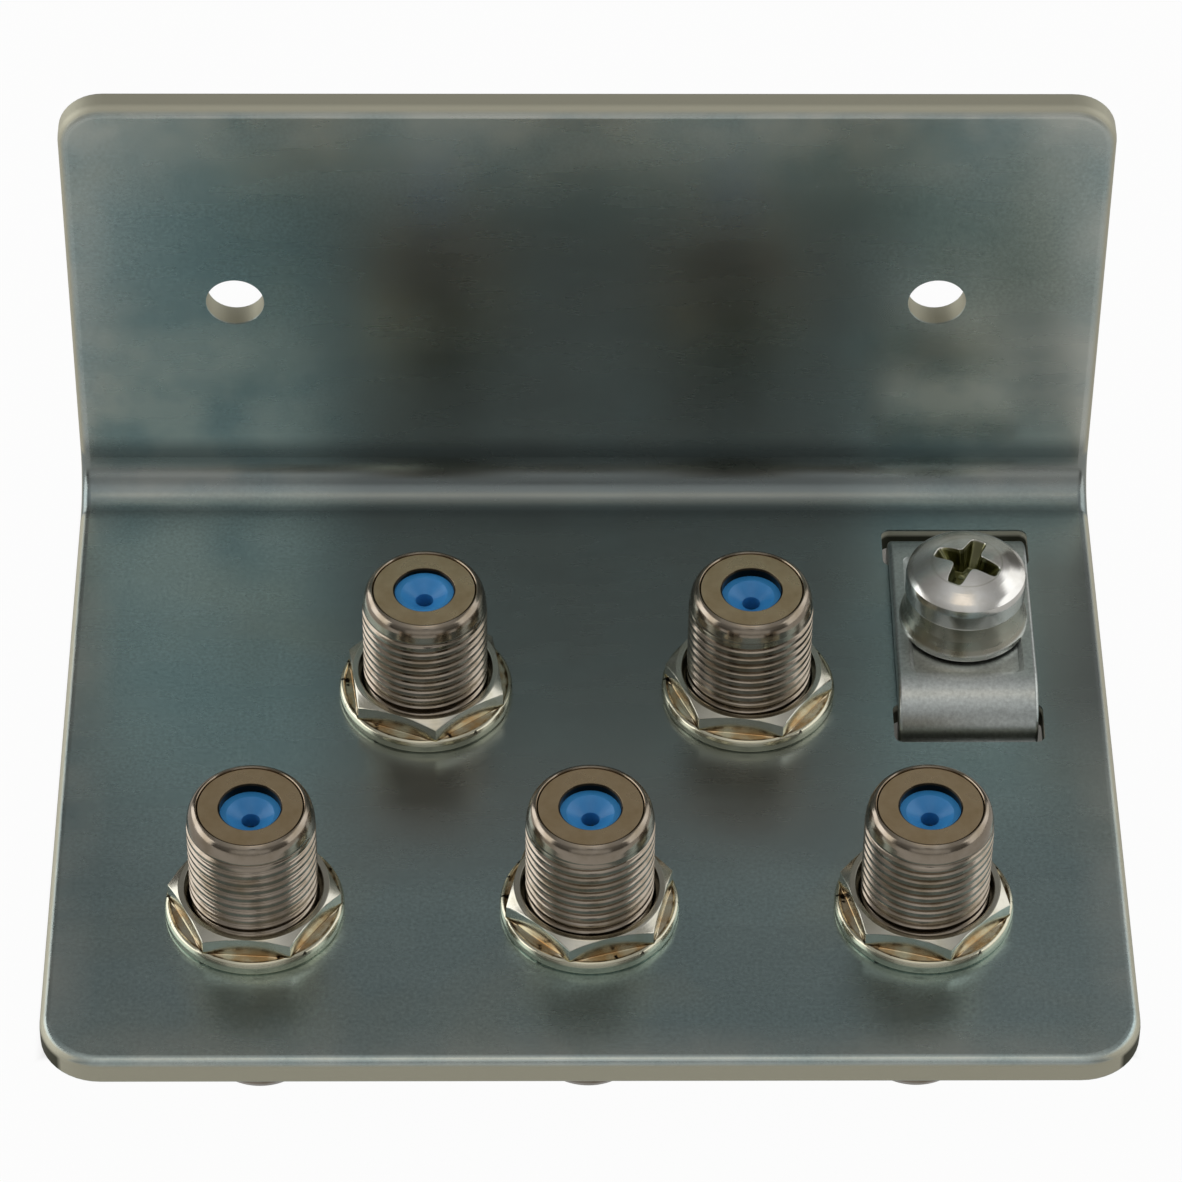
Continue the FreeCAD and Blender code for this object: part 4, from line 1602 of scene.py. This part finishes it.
@dataclass
class Studio:
    """Camera, floor, lamps and surroundings.

    The camera stands where a fit to the photograph's outline puts it.

    Attributes:
        eye_mm: the camera's place.
        elevation: how far it looks down, in degrees.
        yaw: how far it is turned to the right, in degrees.
        roll: how far it leans, in degrees.
        focal_px: focal length in pixels of the photograph.
        image_px: width of the photograph.
        sensor_mm: width of the sensor.
        body_r: radius of the camera's dark front, in mm.
        body_off: where the middle of that front lies from the lens, in mm.
        body_back: how far behind the eye it lies, in mm.
        body_corners: corners of the front's disc.
        aim: the point that the lamps are aimed at, in metres.
        floor_half: half the width of the floor, in metres.
        floor_colour: colour of the floor.
        floor_mirrored: how white the floor shows in reflections.
        shade_middle: middle of the part of the floor that keeps the object's shade, in metres.
        shade_half: half the size of that part, in metres.
        shade_edge: where that part's soft edge starts, as a share of its half size.
        floor_white: how white the floor shows beyond it.
        room: brightness of the room all round.
        room_tint: its colour, as shares of red, green and blue.
        ceiling: brightness of the ceiling's middle.
        ceiling_way: direction of that middle.
        ceiling_end: cosine at which the ceiling's glow ends.
        ceiling_sides: sideways extents where the glow starts to narrow and where it is least.
        ceiling_least: what is left of the glow there.
        lamps: the lamps.
    """

    eye_mm: tuple[float, float, float] = (-4.77, -330.519, 287.892)
    elevation: float = 44.153
    yaw: float = 0.938
    roll: float = 0.623
    focal_px: float = 5640.689
    image_px: float = 1182.0
    sensor_mm: float = 36.0
    body_r: float = 42.0
    body_off: tuple[float, float] = (8.0, 0.0)
    body_back: float = 2.0
    body_corners: int = 48
    aim: tuple[float, float, float] = (0.0, -0.032, -0.01)
    floor_half: float = 2.0
    floor_colour: str = "#B4B1AB"
    floor_mirrored: float = 0.3
    shade_middle: tuple[float, float] = (0.0, -0.01575)
    shade_half: tuple[float, float] = (0.042, 0.03375)
    shade_edge: float = 0.93
    floor_white: float = 0.97
    room: float = 0.075
    room_tint: tuple[float, float, float] = (1.0, 0.95, 0.85)
    ceiling: float = 0.65
    ceiling_way: tuple[float, float, float] = (0.0, -0.292, 0.956)
    ceiling_end: float = 0.15
    ceiling_sides: tuple[float, float] = (0.12, 0.45)
    ceiling_least: float = 0.68
    lamps: tuple[Softbox, ...] = (
        Softbox("overhead_softbox", 0.0, 82.0, 0.7, 0.25, 0.15, 0.5, "#FFE2BC"),
        Softbox("left_panel", -100.0, 22.0, 1.0, 1.25, 0.75, 1.7, upright=True),
        Softbox("right_panel", 100.0, 30.0, 1.0, 1.25, 0.95, 1.0, upright=True),
        Softbox("back_right_panel", 138.0, 38.0, 1.0, 0.7, 0.6, 0.12),
        Softbox("front_fill", 0.0, 14.0, 1.0, 1.2, 0.4, 0.3, upright=True),
    )

    def camera(self) -> None:
        """Set up the camera from its angles and its focal length in pixels."""
        el, yaw, roll = (math.radians(v) for v in (self.elevation, self.yaw, self.roll))
        ahead = Vector((math.sin(yaw) * math.cos(el), math.cos(yaw) * math.cos(el), -math.sin(el)))
        level = Vector((math.cos(yaw), -math.sin(yaw), 0.0))
        rise = level.cross(ahead)
        right = level * math.cos(roll) + rise * math.sin(roll)
        up = rise * math.cos(roll) - level * math.sin(roll)
        lens = bpy.data.cameras.new("camera")
        lens.sensor_width = self.sensor_mm
        lens.lens = self.focal_px / self.image_px * self.sensor_mm
        view = bpy.data.objects.new("camera", lens)
        bpy.context.scene.collection.objects.link(view)
        turn = Matrix((right, up, -ahead)).transposed().to_4x4()
        view.matrix_world = Matrix.Translation(Vector(self.eye_mm) * MM) @ turn
        bpy.context.scene.camera = view
        self.camera_front(view.matrix_world)

    def camera_front(self, stand: Matrix) -> None:
        """Put a black disc round the eye: the front of the camera, which the plate mirrors.

        Args:
            stand: the camera's place and turn.
        """
        angles = np.linspace(0.0, FULL_TURN, self.body_corners + 1)[:-1]
        rim = np.stack([
            self.body_r * np.cos(angles) + self.body_off[0],
            self.body_r * np.sin(angles) + self.body_off[1],
            np.full(self.body_corners, self.body_back),
        ], axis=-1) * MM
        mesh = bpy.data.meshes.new("camera_front")
        mesh.from_pydata(rim.tolist(), [], [tuple(range(self.body_corners))])
        made = blank_material("black_lacquered_camera")
        black = add_node(made.node_tree, "ShaderNodeBsdfDiffuse", {"Color": linear("#141414")})
        add_node(made.node_tree, "ShaderNodeOutputMaterial", {"Surface": black.outputs[0]})
        mesh.materials.append(made)
        disc = bpy.data.objects.new("camera_front", mesh)
        bpy.context.scene.collection.objects.link(disc)
        disc.matrix_world = stand
        disc.visible_camera = False

    def floor(self) -> None:
        """Lay a pale floor under the lowest point, white to the eye away from the object and
        paler in the metal's reflections too.

        The floor is white where the larger of |x| and |y|, each measured from the middle of
        the shaded part as a share of its half size, is above 1.
        """
        low = CAD_BOX[0][2]
        half = self.floor_half
        mesh = bpy.data.meshes.new("floor")
        corners = [(-half, -half, low), (half, -half, low), (half, half, low), (-half, half, low)]
        mesh.from_pydata(corners, [], [(0, 1, 2, 3)])
        piece = bpy.data.objects.new("floor", mesh)
        bpy.context.scene.collection.objects.link(piece)
        made = blank_material("pale_floor")
        tree = made.node_tree
        path = add_node(tree, "ShaderNodeLightPath")
        seen = add_node(tree, "ShaderNodeMath", {
            0: path.outputs["Is Camera Ray"], 1: path.outputs["Is Transmission Ray"],
        }, operation="MAXIMUM")
        mirrored = add_node(tree, "ShaderNodeMath", {
            0: path.outputs["Is Glossy Ray"], 1: self.floor_mirrored,
        }, operation="MULTIPLY")
        seen = add_node(tree, "ShaderNodeMath", {
            0: seen.outputs[0], 1: mirrored.outputs[0],
        }, operation="MAXIMUM")
        place = add_node(tree, "ShaderNodeTexCoord").outputs["Object"]
        scale = [1.0 / size for size in self.shade_half]
        shift = [-middle * size for middle, size in zip(self.shade_middle, scale)]
        about = add_node(tree, "ShaderNodeMapping", {
            "Vector": place, "Location": (*shift, 0.0), "Scale": (*scale, 1.0),
        })
        x, y, _ = add_node(tree, "ShaderNodeSeparateXYZ", {0: about.outputs[0]}).outputs
        sides = [add_node(tree, "ShaderNodeMath", {0: way}, operation="ABSOLUTE") for way in (x, y)]
        reach = add_node(tree, "ShaderNodeMath", {
            0: sides[0].outputs[0], 1: sides[1].outputs[0],
        }, operation="MAXIMUM")
        open_floor = add_node(tree, "ShaderNodeMapRange", {
            0: reach.outputs[0], 1: self.shade_edge, 2: 1.0, 4: self.floor_white,
        }, interpolation_type="SMOOTHSTEP")
        share = add_node(tree, "ShaderNodeMath", {
            0: seen.outputs[0], 1: open_floor.outputs[0],
        }, operation="MULTIPLY")
        matt = add_node(tree, "ShaderNodeBsdfDiffuse", {"Color": linear(self.floor_colour)})
        glow = add_node(tree, "ShaderNodeEmission", {
            "Color": (1.0, 1.0, 1.0, 1.0), "Strength": 1.0,
        })
        both = add_node(tree, "ShaderNodeMixShader", {
            0: share.outputs[0], 1: matt.outputs[0], 2: glow.outputs[0],
        })
        add_node(tree, "ShaderNodeOutputMaterial", {"Surface": both.outputs[0]})
        piece.data.materials.append(made)

    def surroundings(self) -> None:
        """A grey room, brightest at the ceiling over the front and dimmer all round.

        The brightness falls with the square of the cosine of the angle from the ceiling's
        middle, and the ceiling is about two thirds as bright out to the sides.
        """
        world = bpy.data.worlds.new("room")
        bpy.context.scene.world = world
        world.use_nodes = True
        tree = world.node_tree
        tree.nodes.clear()
        place = add_node(tree, "ShaderNodeTexCoord").outputs["Generated"]
        toward = add_node(tree, "ShaderNodeVectorMath", {
            0: place, 1: self.ceiling_way,
        }, operation="DOT_PRODUCT")
        fall = add_node(tree, "ShaderNodeMapRange", {
            0: toward.outputs["Value"], 1: self.ceiling_end, 2: 1.0,
        })
        fall = add_node(tree, "ShaderNodeMath", {0: fall.outputs[0], 1: 2.0}, operation="POWER")
        side = add_node(tree, "ShaderNodeSeparateXYZ", {0: place}).outputs[0]
        side = add_node(tree, "ShaderNodeMath", {0: side}, operation="ABSOLUTE")
        narrow = add_node(tree, "ShaderNodeMapRange", {
            0: side.outputs[0], 1: self.ceiling_sides[0], 2: self.ceiling_sides[1],
            3: 1.0, 4: self.ceiling_least,
        }, interpolation_type="SMOOTHSTEP")
        share = add_node(tree, "ShaderNodeMath", {
            0: fall.outputs[0], 1: narrow.outputs[0],
        }, operation="MULTIPLY")
        shade = add_node(tree, "ShaderNodeMix", {
            0: share.outputs[0], 6: (*(self.room * part for part in self.room_tint), 1.0),
            7: (self.ceiling, self.ceiling, self.ceiling, 1.0),
        }, data_type="RGBA")
        glow = add_node(tree, "ShaderNodeBackground", {"Color": shade.outputs[2], "Strength": 1.0})
        add_node(tree, "ShaderNodeOutputWorld", {"Surface": glow.outputs[0]})

    def build(self) -> None:
        """Set the whole studio."""
        self.camera()
        self.floor()
        self.surroundings()
        for lamp in self.lamps:
            lamp.build(Vector(self.aim))
        bpy.context.scene.view_settings.view_transform = "Standard"
        LOG.info("studio ready")


def main() -> None:
    """Build the studio and every sub-assembly, in order."""
    logging.basicConfig(level=logging.INFO, format="%(message)s")
    Studio().build()
    Bracket().build()
    plastic = BlueMoulding().material("blue_moulded_polyethylene")
    barrel = NickelPlate(base="#ABA092", shade="#8F826F", roughness=0.18)
    # The rings keep the dark default within 2.36 mm of the axis: painted shade in their bores.
    ring = StainAndShadePlate(base="#E2CAA4", shade="#CCB28A", roughness=0.3)
    nut = NutPlate(base="#D6D3C6", shade="#C6C2AE", roughness=0.2, spread=0.04, mark_mm=0.3)
    spring = NickelPlate(base="#D9B77C", shade="#B8935A", roughness=0.25)
    for name in PORTS:
        Port(name, NUT_TURNS[name], THREAD_PHASES[name]).build(barrel, ring, nut, plastic, spring)
    GroundClamp().build()


if __name__ == "__main__":
    main()
